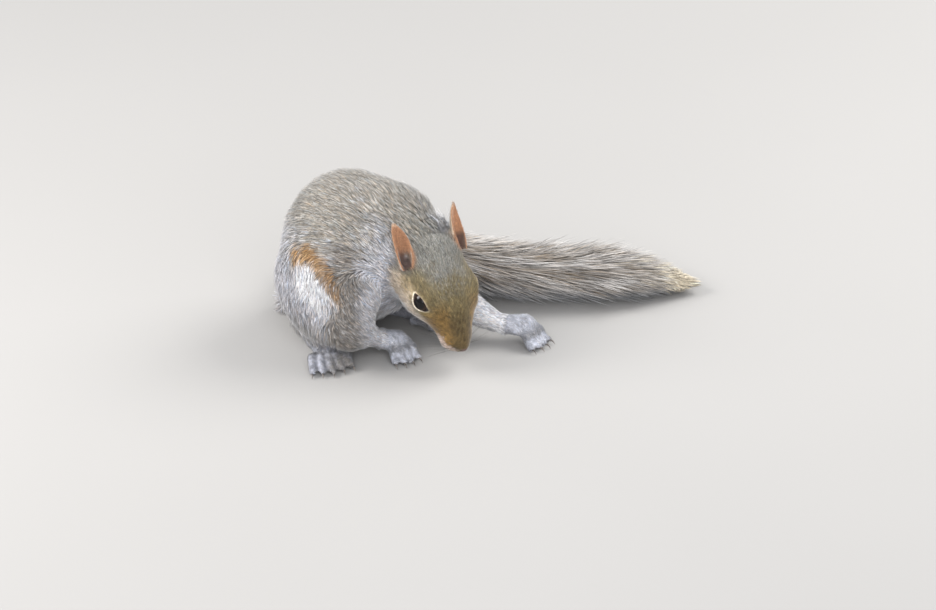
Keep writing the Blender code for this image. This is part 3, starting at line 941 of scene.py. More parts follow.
@dataclass
class Eyes:
    """The two eyeballs, smooth and wet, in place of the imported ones.

    Attributes:
        anatomy: Where the parts lie.
        bulge: How far the clear front stands out, as a share of the radius.
    """

    anatomy: Anatomy
    bulge: float = 0.03

    def material(self) -> bpy.types.Material:
        """A near-black brown iris around a black pupil, under a clear wet surface.

        Returns:
            The material.
        """
        material = bpy.data.materials.new("eye_dark")
        material.use_nodes = True
        nodes, links = material.node_tree.nodes, material.node_tree.links
        shader = nodes["Principled BSDF"]
        depth = nodes.new("ShaderNodeAttribute")
        depth.attribute_name = "pupil"
        ramp = nodes.new("ShaderNodeValToRGB")
        ramp.color_ramp.elements[0].position = 0.45
        ramp.color_ramp.elements[0].color = (0.004, 0.003, 0.003, 1.0)
        ramp.color_ramp.elements[1].position = 0.62
        ramp.color_ramp.elements[1].color = (0.022, 0.010, 0.005, 1.0)
        links.new(depth.outputs["Fac"], ramp.inputs["Fac"])
        links.new(ramp.outputs["Color"], shader.inputs["Base Color"])
        shader.inputs["Roughness"].default_value = 0.12
        shader.inputs["IOR"].default_value = 1.38
        return material

    def build(self) -> None:
        """Makes both eyeballs."""
        material = self.material()
        for side in SIDES:
            outward = EyeOpening(self.anatomy, side).axes()[0]
            centre = EyeOpening(self.anatomy, side).centre()
            activate_none()
            bpy.ops.mesh.primitive_uv_sphere_add(
                segments=48,
                ring_count=32,
                radius=self.anatomy.eye_radius,
                location=tuple(centre),
                rotation=Vector(outward).to_track_quat("Z", "Y").to_euler(),
            )
            ball = bpy.context.object
            ball.name = "eyeball_" + side
            bpy.ops.object.transform_apply(location=True, rotation=True, scale=True)
            points = points_of(ball.data)
            facing = unit(points - centre) @ outward
            raised = self.bulge * self.anatomy.eye_radius * ease(0.5, 1.0, facing)
            points += unit(points - centre) * raised[:, None]
            ball.data.vertices.foreach_set("co", points.ravel())
            stored = ball.data.attributes.new("pupil", "FLOAT", "POINT")
            stored.data.foreach_set("value", np.arccos(np.clip(facing, -1.0, 1.0)).astype(np.float32))
            ball.data.shade_smooth()
            finish_piece(ball, material)
            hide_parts("eye_" + side)
        log.info("eyes: 2 eyeballs")


# ----------------------------------------------------------------------------------------------------- skin
@dataclass
class Skin:
    """One skin over all the flesh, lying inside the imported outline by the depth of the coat.

    Attributes:
        anatomy: Where the parts lie.
        voxel: The size of its mesh.
        grow: How far each part swells first, so that the parts run together.
        tail_radii: Radii of the tail's flesh at its root and tip.
        plain_rounds: How often the broad forms are smoothed.
        fine_rounds: How often everything is smoothed.
        most: About how many triangles it has at most.
        ear_reach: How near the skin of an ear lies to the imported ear.
    """

    anatomy: Anatomy
    voxel: float = 0.72 * MM
    grow: float = 0.45 * MM
    tail_radii: tuple[float, float] = (6.0 * MM, 1.8 * MM)
    plain_rounds: int = 150
    fine_rounds: int = 3
    most: int = 184000
    ear_reach: float = 0.75 * MM
    made: bpy.types.Object = field(init=False)
    points: np.ndarray = field(init=False)
    normals: np.ndarray = field(init=False)
    edges: np.ndarray = field(init=False)
    shares: dict[Part, np.ndarray] = field(init=False)
    lie: np.ndarray = field(init=False)

    def flesh_nodes(self) -> list[str]:
        """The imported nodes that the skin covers."""
        kinds = {part.value for part in Part}
        return sorted(name for name in self.anatomy.frame["nodes"] if name.split("_")[0] in kinds)

    def grown_copy(self, name: str) -> bpy.types.Object:
        """A welded copy of a node, swollen a little.

        Args:
            name: The node's name.

        Returns:
            The copy.
        """
        mesh = self.anatomy.frame["nodes"][name].data.copy()
        copy = bpy.data.objects.new("flesh", mesh)
        bpy.context.scene.collection.objects.link(copy)
        activate(copy)
        bpy.ops.object.mode_set(mode="EDIT")
        bpy.ops.mesh.select_all(action="SELECT")
        bpy.ops.mesh.remove_doubles(threshold=1e-6)
        bpy.ops.object.mode_set(mode="OBJECT")
        points = points_of(mesh) + normals_of(mesh) * self.grow
        mesh.vertices.foreach_set("co", points.ravel())
        mesh.update()
        return copy

    def tail_radius(self, share: np.ndarray) -> np.ndarray:
        """The radius of the tail's flesh at shares of its length."""
        root, tip = self.tail_radii
        return root + (tip - root) * share**0.8

    def tail_core(self) -> bpy.types.Object:
        """The flesh of the tail: a round cord that thins towards its tip."""
        share = np.linspace(-0.06, 0.97, 40)
        rows, _ = self.anatomy.tail_at(share)
        radii = self.tail_radius(np.clip(share, 0.0, 1.0))
        return round_lines("tail_core", [(rows[:, :3] * (1.0, 1.0, 0.9), radii)], 4)

    def digit_bars(self) -> bpy.types.Object:
        """The fingers and toes, which stand out of the paws with clefts between them."""
        names = [node for kind in ("foreclaw", "hindclaw") for side in SIDES for node in digits(kind, side)]
        return round_lines("digits", [self.anatomy.digit(node) for node in names], 3)

    def eye_fill(self, side: str) -> bpy.types.Object:
        """A ball that fills an eye's socket, so that the lids have something to be shaped from."""
        activate_none()
        bpy.ops.mesh.primitive_uv_sphere_add(
            segments=32,
            ring_count=20,
            radius=self.anatomy.eye_radius + 0.3 * MM,
            location=tuple(EyeOpening(self.anatomy, side).centre()),
        )
        return bpy.context.object

    def gather(self) -> None:
        """Joins all the flesh and makes one closed mesh of it."""
        pieces = [self.grown_copy(name) for name in self.flesh_nodes() if not name.startswith("tail_")]
        pieces += [self.tail_core(), self.digit_bars()] + [self.eye_fill(side) for side in SIDES]
        activate(pieces[0])
        for piece in pieces:
            piece.select_set(True)
        bpy.ops.object.join()
        self.made = bpy.context.object
        self.made.name = "skin"
        self.made.data.name = "skin"
        self.made.matrix_world.identity()
        whole = self.made.modifiers.new("whole", "REMESH")
        whole.mode = "VOXEL"
        whole.voxel_size = self.voxel
        apply_modifiers(self.made)
        self.keep_largest()

    def keep_largest(self) -> None:
        """Removes crumbs and hollows that are not part of the outer skin."""
        activate(self.made)
        bpy.ops.object.mode_set(mode="EDIT")
        built = bmesh.from_edit_mesh(self.made.data)
        top = max(built.verts, key=lambda vertex: vertex.co.z)
        for face in built.faces:
            face.select_set(False)
        top.link_faces[0].select_set(True)
        built.faces.active = top.link_faces[0]
        bmesh.update_edit_mesh(self.made.data)
        bpy.ops.mesh.select_linked()
        bpy.ops.mesh.select_all(action="INVERT")
        bpy.ops.mesh.delete(type="VERT")
        bpy.ops.object.mode_set(mode="OBJECT")

    def read(self) -> None:
        """Reads the mesh into arrays."""
        mesh = self.made.data
        self.points = points_of(mesh)
        self.normals = normals_of(mesh)
        self.edges = rows_of(mesh.edges, "vertices", 2, np.int64)

    def write(self) -> None:
        """Writes the points back to the mesh and reads its new normals."""
        self.made.data.vertices.foreach_set("co", self.points.ravel())
        self.made.data.update()
        self.normals = normals_of(self.made.data)

    def evened(self, values: np.ndarray, rounds: int) -> np.ndarray:
        """Values averaged with those of the neighbouring vertices, again and again.

        Args:
            values: A value or a vector for each vertex.
            rounds: How often.

        Returns:
            The evened values.
        """
        first, second = self.edges.T
        count = len(self.points)
        both = np.concatenate((first, second))
        other = np.concatenate((second, first))
        beside = np.maximum(np.bincount(both, minlength=count), 1)
        columns = values.reshape(count, -1).T.copy()
        for _ in range(rounds):
            for index, column in enumerate(columns):
                around = np.bincount(both, column[other], minlength=count) / beside
                columns[index] = 0.5 * column + 0.5 * around
        return columns.T.reshape(values.shape)

    def find_parts(self) -> None:
        """Works out which part of the body each vertex belongs to, with soft borders."""
        corners, faces, owner = [], [], []
        for name in self.flesh_nodes():
            mesh = self.anatomy.frame["nodes"][name].data
            mesh.calc_loop_triangles()
            start = len(corners)
            corners += [tuple(vertex.co) for vertex in mesh.vertices]
            faces += [tuple(start + index for index in triangle.vertices) for triangle in mesh.loop_triangles]
            owner += [Part(name.split("_")[0])] * len(mesh.loop_triangles)
        body_faces = [face for face, part in zip(faces, owner) if part is not Part.EAR]
        body_owner = [part for part in owner if part is not Part.EAR]
        every, body = BVHTree.FromPolygons(corners, faces), BVHTree.FromPolygons(corners, body_faces)
        nearest = []
        for point in self.points.tolist():
            _, _, index, away = every.find_nearest(point)
            found = owner[index]
            if found is Part.EAR and away > self.ear_reach:
                found = body_owner[body.find_nearest(point)[2]]
            nearest.append(found)
        self.shares = {}
        for part in Part:
            mine = np.array([found is part for found in nearest], float)
            self.shares[part] = self.evened(mine, 10)

    def per_part(self, choose: Callable[[Coat], float]) -> np.ndarray:
        """A number of each part's coat, spread over the vertices.

        Args:
            choose: Picks the number from a Coat.

        Returns:
            A value for each vertex.
        """
        return sum(self.shares[part] * choose(coat) for part, coat in COATS.items())

    def weigh(self, weight: np.ndarray, steps: int) -> str:
        """Stores how broad the form is at each vertex, for a modifier to read.

        Args:
            weight: From 0 to 1 at each vertex.
            steps: How many steps it is rounded to.

        Returns:
            The name of the vertex group.
        """
        broad = self.made.vertex_groups.new(name="broad")
        for step in range(1, steps + 1):
            chosen = np.flatnonzero(np.round(weight * steps).astype(int) == step)
            if len(chosen):
                broad.add(chosen.tolist(), step / steps, "REPLACE")
        return broad.name

    def smooth(self) -> None:
        """Takes the facets out of the broad forms, and leaves paws and ears nearly as they are."""
        weight = np.clip(self.evened(self.per_part(lambda coat: coat.evenness), 12), 0.0, 1.0)
        broad = self.weigh(weight, 20)
        plain = self.made.modifiers.new("plain", "SMOOTH")
        plain.iterations = self.plain_rounds
        plain.vertex_group = broad
        fine = self.made.modifiers.new("fine", "SMOOTH")
        fine.iterations = self.fine_rounds
        apply_modifiers(self.made)
        self.made.vertex_groups.clear()

    def refine(self) -> None:
        """Halves the mesh size over the front of the face, and again around the eyes."""
        for limit in ("face", "eyes"):
            activate(self.made)
            bpy.ops.object.mode_set(mode="EDIT")
            bpy.ops.mesh.select_all(action="DESELECT")
            bpy.ops.mesh.select_mode(type="FACE")
            built = bmesh.from_edit_mesh(self.made.data)
            middles = np.array([face.calc_center_median() for face in built.faces])
            if limit == "face":
                local = self.anatomy.in_head(middles)
                chosen = np.all(np.abs(local - (0.0, -26.5, 0.0)) < (12.0, 9.5, 16.0), axis=1)
            else:
                chosen = np.zeros(len(middles), bool)
            for side in SIDES:
                away = np.linalg.norm(middles - self.anatomy.eyes[side], axis=1)
                chosen |= away < self.anatomy.eye_radius + 3.0 * MM
            for face, wanted in zip(built.faces, chosen):
                face.select_set(bool(wanted))
            bmesh.update_edit_mesh(self.made.data)
            bpy.ops.mesh.subdivide(number_cuts=1, smoothness=0.0)
            bpy.ops.object.mode_set(mode="OBJECT")

    def thin_out(self) -> None:
        """Makes the mesh coarser where the form is broad and the coat hides it."""
        weight = np.clip(self.per_part(lambda coat: coat.evenness), 0.0, 1.0)
        local = self.anatomy.in_head(self.points)
        weight *= 1.0 - self.shares[Part.HEAD] * ease(4.0, -8.0, local[:, 1])
        count = sum(len(polygon.vertices) - 2 for polygon in self.made.data.polygons)
        fewer = self.made.modifiers.new("fewer", "DECIMATE")
        fewer.ratio = min(1.0, self.most / count)
        fewer.vertex_group = self.weigh(weight, 10)
        apply_modifiers(self.made)
        self.made.vertex_groups.clear()

    def coat_depth(self) -> np.ndarray:
        """How far inside the outline the skin lies at each vertex, thinning towards the nose."""
        depth = self.per_part(lambda coat: coat.depth)
        local = self.anatomy.in_head(self.points)
        thinning = 0.3 + 0.7 * ease(-28.0, -6.0, local[:, 1])
        for side in SIDES:
            ring, _ = EyeOpening(self.anatomy, side).ring(self.points)
            thinning *= 0.25 + 0.75 * ease(1.8, 3.2, ring)
        depth = depth * (1.0 - self.shares[Part.HEAD] * (1.0 - thinning))
        return self.evened(depth, 10)

    def settle(self) -> None:
        """Moves the skin in from the outline by the depth of the coat."""
        inward = unit(self.evened(self.normals, 8))
        on_tail = np.clip(self.shares[Part.TAIL] * 1.2, 0.0, 1.0)
        grown = self.grow * (1.0 - on_tail)
        self.points -= inward * (self.coat_depth() + grown)[:, None]
        self.points[:, 2] = np.maximum(self.points[:, 2], 0.15 * MM)
        self.write()

    def shape_lids(self) -> None:
        """Opens the lids over each eyeball, with a rounded edge that stands on it."""
        radius = self.anatomy.eye_radius
        for side in SIDES:
            opening = EyeOpening(self.anatomy, side)
            centre = opening.centre()
            ring, away = opening.ring(self.points)
            outward = unit(self.points - centre)
            edge = radius + 0.5 * MM
            low = edge - 0.2 * MM * ease(1.2, 1.5, ring)
            lid = low + np.clip(away - low, 0.0, 0.9 * MM) * ease(1.1, 1.8, ring)
            target = away + (lid - away) * ease(2.1, 1.5, ring)
            target = np.where(ring < 1.15, edge + (radius - 0.9 * MM - edge) * ease(1.1, 0.97, ring), target)
            near = ring < 2.2
            self.points[near] = centre + outward[near] * target[near, None]
        self.write()

    def carve(self, line: list[tuple[float, float, float]], width: float, depth: float) -> None:
        """Presses a groove into the face.

        Args:
            line: Corners of the groove, in the head's axes, in millimetres.
            width: How wide it is, in millimetres.
            depth: How deep it is, in millimetres.
        """
        away, _ = line_distance(self.anatomy.in_head(self.points), np.array(line, float))
        push = depth * MM * np.exp(-((away / width) ** 2))
        self.points -= self.normals * push[:, None]
        self.write()

    def shape_muzzle(self) -> None:
        """Narrows the tip of the muzzle, and presses in the nostrils, the cleft under them and the mouth."""
        local = self.anatomy.in_head(self.points)
        tip = -self.anatomy.muzzle / MM
        squeeze = 1.0 - 0.3 * ease(tip + 9.0, tip, local[:, 1]) * (self.shares[Part.HEAD] > 0.5)
        shift = local * np.array((1.0, 0.0, 0.0)) * (squeeze - 1.0)[:, None] * MM
        self.points += shift @ self.anatomy.head
        self.write()
        self.carve([(0.0, tip - 0.5, -2.8), (0.0, tip + 1.4, -6.0)], 0.45, 0.7)
        for sign in (1.0, -1.0):
            nostril = ((0.9, -1.0, -1.9), (1.9, -0.3, -1.0), (2.6, 1.2, -1.3))
            mouth = ((0.0, 1.4, -6.2), (2.8, 3.5, -7.9), (5.6, 9.0, -8.9), (6.8, 13.0, -8.2))
            for line, depth in ((nostril, 1.2), (mouth, 1.0)):
                self.carve([(sign * x, tip + y, z) for x, y, z in line], 0.5, depth)

    def down_spine(self) -> np.ndarray:
        """Which way the spine runs towards the tail, at the place beside each vertex."""
        anatomy = self.anatomy
        low, high = (np.array(corner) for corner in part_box("trunk"))
        spine = np.array((anatomy.head_middle, centre_of("neck"), low, low, low, centre_of("tail_1")))
        for index, (back, up) in enumerate(((0.3, 0.72), (0.62, 0.6), (0.88, 0.3)), 2):
            inside = low + np.array((0.0, back, up)) * (high - low)
            spine[index] = (anatomy.spine_x, inside[1], inside[2])
        _, along = line_distance(self.points, spine)
        steps = np.diff(spine, axis=0)
        place = np.clip(along * len(steps) - 0.5, 0.0, len(steps) - 1.0)
        base = np.minimum(place.astype(int), len(steps) - 2)
        return unit(steps[base] + (steps[base + 1] - steps[base]) * (place - base)[:, None])

    def down_tail(self) -> np.ndarray:
        """Which way the tail runs towards its tip, at the place beside each vertex."""
        rows, way = self.anatomy.tail_at(np.linspace(0.0, 1.0, 60))
        _, along = line_distance(self.points, rows[:, :3])
        return way[np.clip((along * 59).astype(int), 0, 59)]

    def down_limbs(self, side: str) -> dict[Part, np.ndarray]:
        """Where the fur of each part of a limb points to.

        Args:
            side: "left" or "right".

        Returns:
            A place for each part.
        """
        claws = [
            np.mean([centre_of(node) for node in digits(kind, side)], 0) for kind in ("foreclaw", "hindclaw")
        ]
        return {
            Part.FOREPAW: claws[0],
            Part.HINDFOOT: claws[1],
            Part.FORELEG: centre_of("forepaw_" + side),
            Part.HINDLEG: centre_of("hindfoot_" + side) - (0.0, 10 * MM, 20 * MM),
        }

    def lay(self) -> None:
        """Works out which way the fur lies at each vertex, as a smooth field along the body."""
        anatomy, points = self.anatomy, self.points
        lie = self.down_spine() * (self.shares[Part.TRUNK] + self.shares[Part.NECK])[:, None]
        nose = anatomy.from_head(0.0, -anatomy.muzzle / MM - 6.0, 2.0)
        lie += unit(points - nose) * self.shares[Part.HEAD][:, None]
        lie += self.down_tail() * self.shares[Part.TAIL][:, None]
        for side, sign in SIDES.items():
            mine = (points[:, 0] - anatomy.spine_x) * sign > 0.0
            for part, target in self.down_limbs(side).items():
                lie += unit(target - points) * (self.shares[part] * mine)[:, None]
            ear_low, ear_high = (np.array(corner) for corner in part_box("ear_" + side))
            on_ear = np.abs(points[:, 0] - (ear_low[0] + ear_high[0]) / 2.0) < 12 * MM
            ear_way = anatomy.head.T @ (np.array(anatomy.ear_along) * (sign, 1.0, 1.0))
            lie += ear_way * (self.shares[Part.EAR] * on_ear)[:, None]
            behind_way = np.array(anatomy.ear_along) - 0.4 * np.array(anatomy.ear_opening)
            behind_way = anatomy.head.T @ (behind_way * (sign, 1.0, 1.0))
            lie += behind_way * (5.0 * anatomy.behind_ear(points) * mine)[:, None]
            ring, _ = EyeOpening(anatomy, side).ring(points)
            away = unit(points - EyeOpening(anatomy, side).centre())
            lie += away * (0.8 * ease(2.2, 1.2, ring))[:, None]
        for _ in range(3):
            lie = self.evened(lie, 10)
            lie -= self.normals * np.sum(lie * self.normals, axis=1)[:, None]
            lie = unit(lie)
        self.lie = lie

    def unwrap(self) -> None:
        """Unfolds the skin onto the map that the coat's tufts share."""
        activate(self.made)
        bpy.ops.object.mode_set(mode="EDIT")
        bpy.ops.mesh.select_all(action="SELECT")
        bpy.ops.uv.smart_project(angle_limit=math.radians(66), island_margin=0.004)
        bpy.ops.object.mode_set(mode="OBJECT")
        self.made.data.uv_layers.active.name = "OFBake"

    def build(self) -> None:
        """Makes the skin, its face and the field of the fur's lie."""
        self.gather()
        self.read()
        self.find_parts()
        self.smooth()
        self.refine()
        self.read()
        self.find_parts()
        self.thin_out()
        self.read()
        self.find_parts()
        self.settle()
        self.shape_lids()
        self.shape_muzzle()
        self.lay()
        self.made.data.shade_smooth()
        self.unwrap()
        log.info("skin: %d vertices", len(self.points))

    def dress(self, markings: Markings) -> None:
        """Colours the skin as the coat over it, darker where the coat is deep.

        Args:
            markings: The colours of the coat.
        """
        colour = markings.at(self.points, self.normals, self.shares)
        hidden = ease(0.6 * MM, 2.0 * MM, self.coat_depth())
        colour_points(self.made, colour * (1.0 - 0.45 * hidden)[:, None])
        finish_piece(self.made, CoatFinish("furred_skin", bump=0.5, roughness=0.7).make())
        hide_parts(*self.flesh_nodes())


# ------------------------------------------------------------------------------------------------------ fur
@dataclass
class Roots:
    """Places on the skin that tufts grow from, as arrays with a row each."""

    points: np.ndarray
    normals: np.ndarray
    lie: np.ndarray
    colour: np.ndarray
    length: np.ndarray
    width: np.ndarray
    rise: np.ndarray
    patch: np.ndarray
    part: np.ndarray

    def chosen(self, pick: np.ndarray) -> "Roots":
        """The roots that a mask or an order picks."""
        return Roots(*(getattr(self, name)[pick] for name in self.__dataclass_fields__))


SHORT_TUFT_FACES = np.array(((0, 2, 1), (0, 1, 3), (1, 2, 3), (2, 0, 3)))
TUFT_FACES = np.array(
    ((0, 2, 1), (0, 4, 3), (0, 1, 4), (1, 5, 4), (1, 2, 5))
    + ((2, 3, 5), (2, 0, 3), (3, 4, 6), (4, 5, 6), (5, 3, 6))
)
BRUSH_FACES = np.array(
    [(0, 1, 2)]
    + [
        face
        for start in (0, 3)
        for here, beside in ((0, 1), (1, 2), (2, 0))
        for face in (
            (start + here, start + here + 3, start + beside + 3),
            (start + here, start + beside + 3, start + beside),
        )
    ]
    + [(6, 9, 7), (7, 9, 8), (8, 9, 6)]
)
PATCH = 0.003


def tuft_piece(
    name: str,
    points: np.ndarray,
    faces: np.ndarray,
    colours: np.ndarray,
    shade: np.ndarray,
    patch: np.ndarray,
) -> bpy.types.Object:
    """One mesh of many tufts.

    Args:
        name: Its name.
        points: The points of each tuft, a row for each.
        faces: The faces of a tuft.
        colours: The colours of its points.
        shade: The directions by which its points are shaded.
        patch: The place of each tuft's patch on the skin's map.

    Returns:
        The piece.
    """
    count, per_tuft = points.shape[:2]
    all_faces = (faces[None] + per_tuft * np.arange(count)[:, None, None]).reshape(-1, 3)
    made = mesh_piece(name, points.reshape(-1, 3), all_faces)
    colour_points(made, colours.reshape(-1, 3))
    angle = 2.0 * math.pi * np.arange(per_tuft) / per_tuft
    spread = np.stack((np.cos(angle), np.sin(angle)), axis=1) * PATCH / 2.0
    places = (patch[:, None] + spread[None]).clip(0.0, 1.0).reshape(-1, 2)
    layer = made.data.uv_layers.new(name="OFBake")
    layer.data.foreach_set("uv", places[all_faces.ravel()].astype(np.float32).ravel())
    made.data.normals_split_custom_set_from_vertices(shade.reshape(-1, 3).astype(np.float32))
    return made


@dataclass
class Fur:
    """All the tufts that grow from the skin, with short ones on the root of the tail.

    Attributes:
        skin: What they grow from.
        markings: Their colours.
        most: The most triangles in one piece.
        sink: How far a tuft's root goes into the skin.
        clump: How far the tips draw together.
        leaders: What share of the tufts the others draw towards.
        dark_tips: What share has dark tips.
        frosted_tips: What share has pale tips.
        chance: What varies the tufts.
    """

    skin: Skin
    markings: Markings
    most: int = 190000
    sink: float = 0.25 * MM
    clump: float = 0.35
    leaders: float = 0.09
    dark_tips: float = 0.3
    frosted_tips: float = 0.38
    chance: np.random.Generator = field(default_factory=lambda: np.random.default_rng(SEED))

    def thickness_map(self) -> dict[str, np.ndarray]:
        """Length, width, rise and number of tufts at each vertex of the skin.

        Returns:
            The four values by name.
        """
        skin = self.skin
        local = skin.anatomy.in_head(skin.points)
        on_head = skin.shares[Part.HEAD]
        muzzle = on_head * ease(-8.0, -24.0, local[:, 1])
        maps = {
            "length": skin.per_part(lambda coat: coat.length) * (1.0 - 0.62 * muzzle),
            "width": skin.per_part(lambda coat: coat.width) * (1.0 - 0.3 * muzzle),
            "rise": skin.per_part(lambda coat: coat.rise) * (1.0 - 0.75 * muzzle),
            "number": skin.per_part(lambda coat: coat.per_square) * (1.0 + 0.9 * muzzle),
        }
        for side in SIDES:
            ring, _ = EyeOpening(skin.anatomy, side).ring(skin.points)
            maps["number"] *= ease(1.14, 1.2, ring)
            short = ease(2.4, 1.2, ring)
            maps["length"] *= 1.0 - 0.7 * short
            maps["width"] *= 1.0 - 0.3 * short
            maps["rise"] *= 1.0 - 0.8 * short
        nose_place = (0.0, -skin.anatomy.muzzle / MM + 0.4, -1.6)
        nose = np.linalg.norm((local - nose_place) / (3.4, 2.4, 2.6), axis=1)
        maps["number"] *= np.where(on_head > 0.5, ease(0.9, 1.1, nose), 1.0)
        maps["number"] *= ease(0.2 * MM, 0.8 * MM, skin.points[:, 2])
        maps["number"] *= 1.0 - ease(0.05, 0.4, skin.anatomy.ear_hollow(skin.points))
        near_root = ease(38.0 * MM, 26.0 * MM, skin.anatomy.from_tail_root(skin.points))
        maps["number"] *= np.where(skin.shares[Part.TAIL] > 0.5, near_root, 1.0)
        tufted = skin.anatomy.behind_ear(skin.points) * ease(0.6, 0.2, skin.shares[Part.EAR])
        maps["length"] += 5.5 * MM * tufted
        maps["rise"] += 3.2 * MM * tufted
        return maps

    def sow(self) -> Roots:
        """Spreads roots over the skin, as densely as each part's coat asks.

        Returns:
            The roots.
        """
        skin, mesh = self.skin, self.skin.made.data
        mesh.calc_loop_triangles()
        corners = rows_of(mesh.loop_triangles, "vertices", 3, np.int64)
        loops = rows_of(mesh.loop_triangles, "loops", 3, np.int64)
        unfolded = rows_of(mesh.uv_layers["OFBake"].data, "uv", 2, np.float32)[loops]
        maps = self.thickness_map()
        first, second, third = skin.points[corners].transpose(1, 0, 2)
        area = np.linalg.norm(np.cross(second - first, third - first), axis=1) / 2.0 / MM**2
        wanted = np.cumsum(area * maps["number"][corners].mean(1))
        count = int(wanted[-1])
        picks = np.searchsorted(wanted, (np.arange(count) + self.chance.random(count)) * wanted[-1] / count)
        picks = np.minimum(picks, len(corners) - 1)
        spot = self.chance.random((count, 2))
        spot = np.where((spot.sum(1) > 1.0)[:, None], 1.0 - spot, spot)
        weight = np.stack((1.0 - spot.sum(1), spot[:, 0], spot[:, 1]), axis=1)

        def spread(values: np.ndarray) -> np.ndarray:
            """Vertex values carried to the roots."""
            return np.einsum("ij,ij...->i...", weight, values[corners[picks]])

        points, normals = spread(skin.points), unit(spread(skin.normals))
        shares = {part: spread(share) for part, share in skin.shares.items()}
        part = np.argmax(np.stack([shares[part] for part in Part]), axis=0)
        return Roots(
            points=points,
            normals=normals,
            lie=unit(spread(skin.lie)),
            colour=self.markings.at(points, normals, shares),
            length=spread(maps["length"]),
            width=spread(maps["width"]),
            rise=spread(maps["rise"]),
            patch=np.einsum("ij,ijk->ik", weight, unfolded[picks]),
            part=part,
        )

    def gathered_tips(self, roots: Roots, tips: np.ndarray) -> np.ndarray:
        """Draws tips together into small locks.

        Args:
            roots: Where the tufts grow.
            tips: Where they end.

        Returns:
            The drawn tips.
        """
        leaders = np.flatnonzero(self.chance.random(len(tips)) < self.leaders)
        tree = KDTree(len(leaders))
        for index, leader in enumerate(leaders):
            tree.insert(roots.points[leader], index)
        tree.balance()
        nearest = leaders[[tree.find(point)[1] for point in roots.points.tolist()]]
        pull = tips[nearest] - tips
        reach = np.linalg.norm(pull, axis=1) / roots.length
        return tips + pull * (self.clump * ease(0.7, 0.2, reach))[:, None]

    def grow(self, roots: Roots, bends: bool) -> tuple[np.ndarray, np.ndarray, np.ndarray, np.ndarray]:
        """Shapes a three-sided tapering tuft at every root.

        Args:
            roots: Where the tufts grow.
            bends: Whether they have a knee.

        Returns:
            Points, faces, colours and shading normals, a row for each tuft.
        """
        count = len(roots.points)
        chance = self.chance
        sway = math.radians(11.0) * waves(roots.points, 14 * MM, 6)
        sway += math.radians(7.0) * chance.normal(size=count)
        beside = np.cross(roots.normals, roots.lie)
        lie = roots.lie * np.cos(sway)[:, None] + beside * np.sin(sway)[:, None]
        beside = np.cross(roots.normals, lie)
        length = roots.length * chance.uniform(0.72, 1.22, count)
        rise = roots.rise * np.clip(1.0 + 0.3 * chance.normal(size=count), 0.25, 1.9)
        tips = roots.points + lie * (0.95 * length)[:, None] + roots.normals * rise[:, None]
        tips = self.gathered_tips(roots, tips)
        tips[:, 2] = np.maximum(tips[:, 2], 0.1 * MM)
        half = 0.5 * roots.width * chance.uniform(0.75, 1.25, count)
        rings = [(roots.points - roots.normals * self.sink, 0.6 if bends else 1.0)]
        faces = TUFT_FACES if bends else SHORT_TUFT_FACES
        if bends:
            knees = roots.points + 0.42 * (tips - roots.points) + roots.normals * (0.34 * rise)[:, None]
            knees[:, 2] = np.maximum(knees[:, 2], 0.2 * MM)
            rings.append((knees, 1.0))
        rows = []
        for middle, wide in rings:
            across = beside * (half * wide)[:, None]
            ridge = roots.normals * (0.55 * half * wide)[:, None]
            rows += [middle - across, middle + across, middle + ridge]
        points = np.stack(rows + [tips], axis=1)
        shade = unit(roots.normals[:, None] + 0.5 * unit(points - points.mean(1, keepdims=True)))
        return points, faces, self.grizzled(roots, bends), shade

    def grizzled(self, roots: Roots, bends: bool) -> np.ndarray:
        """Bands each tuft from slate root to ticked tip, so that together they look grizzled.

        Args:
            roots: The tufts, with the colour that they should make together.
            bends: Whether they have a knee.

        Returns:
            A colour for every point of every tuft.
        """
        count = len(roots.points)
        chance = self.chance
        plain = roots.colour
        pale = plain.mean(1)
        bright = np.exp(0.25 * chance.normal(size=count))[:, None]
        bright = bright * (1.0 + 0.05 * chance.normal(size=(count, 1)) * (1, 0, -1))
        root = mixed(plain, PALETTE.slate, 0.45 * ease(0.7, 0.4, pale))
        kind = chance.random(count)[:, None]
        blueness = plain[:, 2] / plain[:, 0]
        frosted = mixed(plain * 1.5, PALETTE.frost, 0.32 * ease(0.5, 0.8, blueness))
        tip = np.where(kind < self.dark_tips, plain * 0.36, plain * 1.12)
        tip = np.where(kind > 1.0 - self.frosted_tips, frosted, tip)
        warm = plain * (1.0 + ease(1.0, 0.8, blueness)[:, None] * (0.05, -0.01, -0.1))
        bands = [root * 0.8, warm * bright] if bends else [0.4 * root + 0.6 * warm * bright]
        rings = np.repeat(np.stack(bands, axis=1), 3, axis=1)
        return np.concatenate((rings, (tip * bright)[:, None]), axis=1).clip(0.0, 1.0)

    def piece(self, name: str, roots: Roots, bends: bool, material: bpy.types.Material, slot: str) -> None:
        """Makes one piece of the coat.

        Args:
            name: Its name.
            roots: The tufts in it.
            bends: Whether the tufts have a knee.
            material: What they wear.
            slot: Not used.
        """
        points, faces, colours, shade = self.grow(roots, bends)
        finish_piece(tuft_piece(name, points, faces, colours, shade, roots.patch), material)
        log.info("%s: %d tufts", name, len(roots.points))

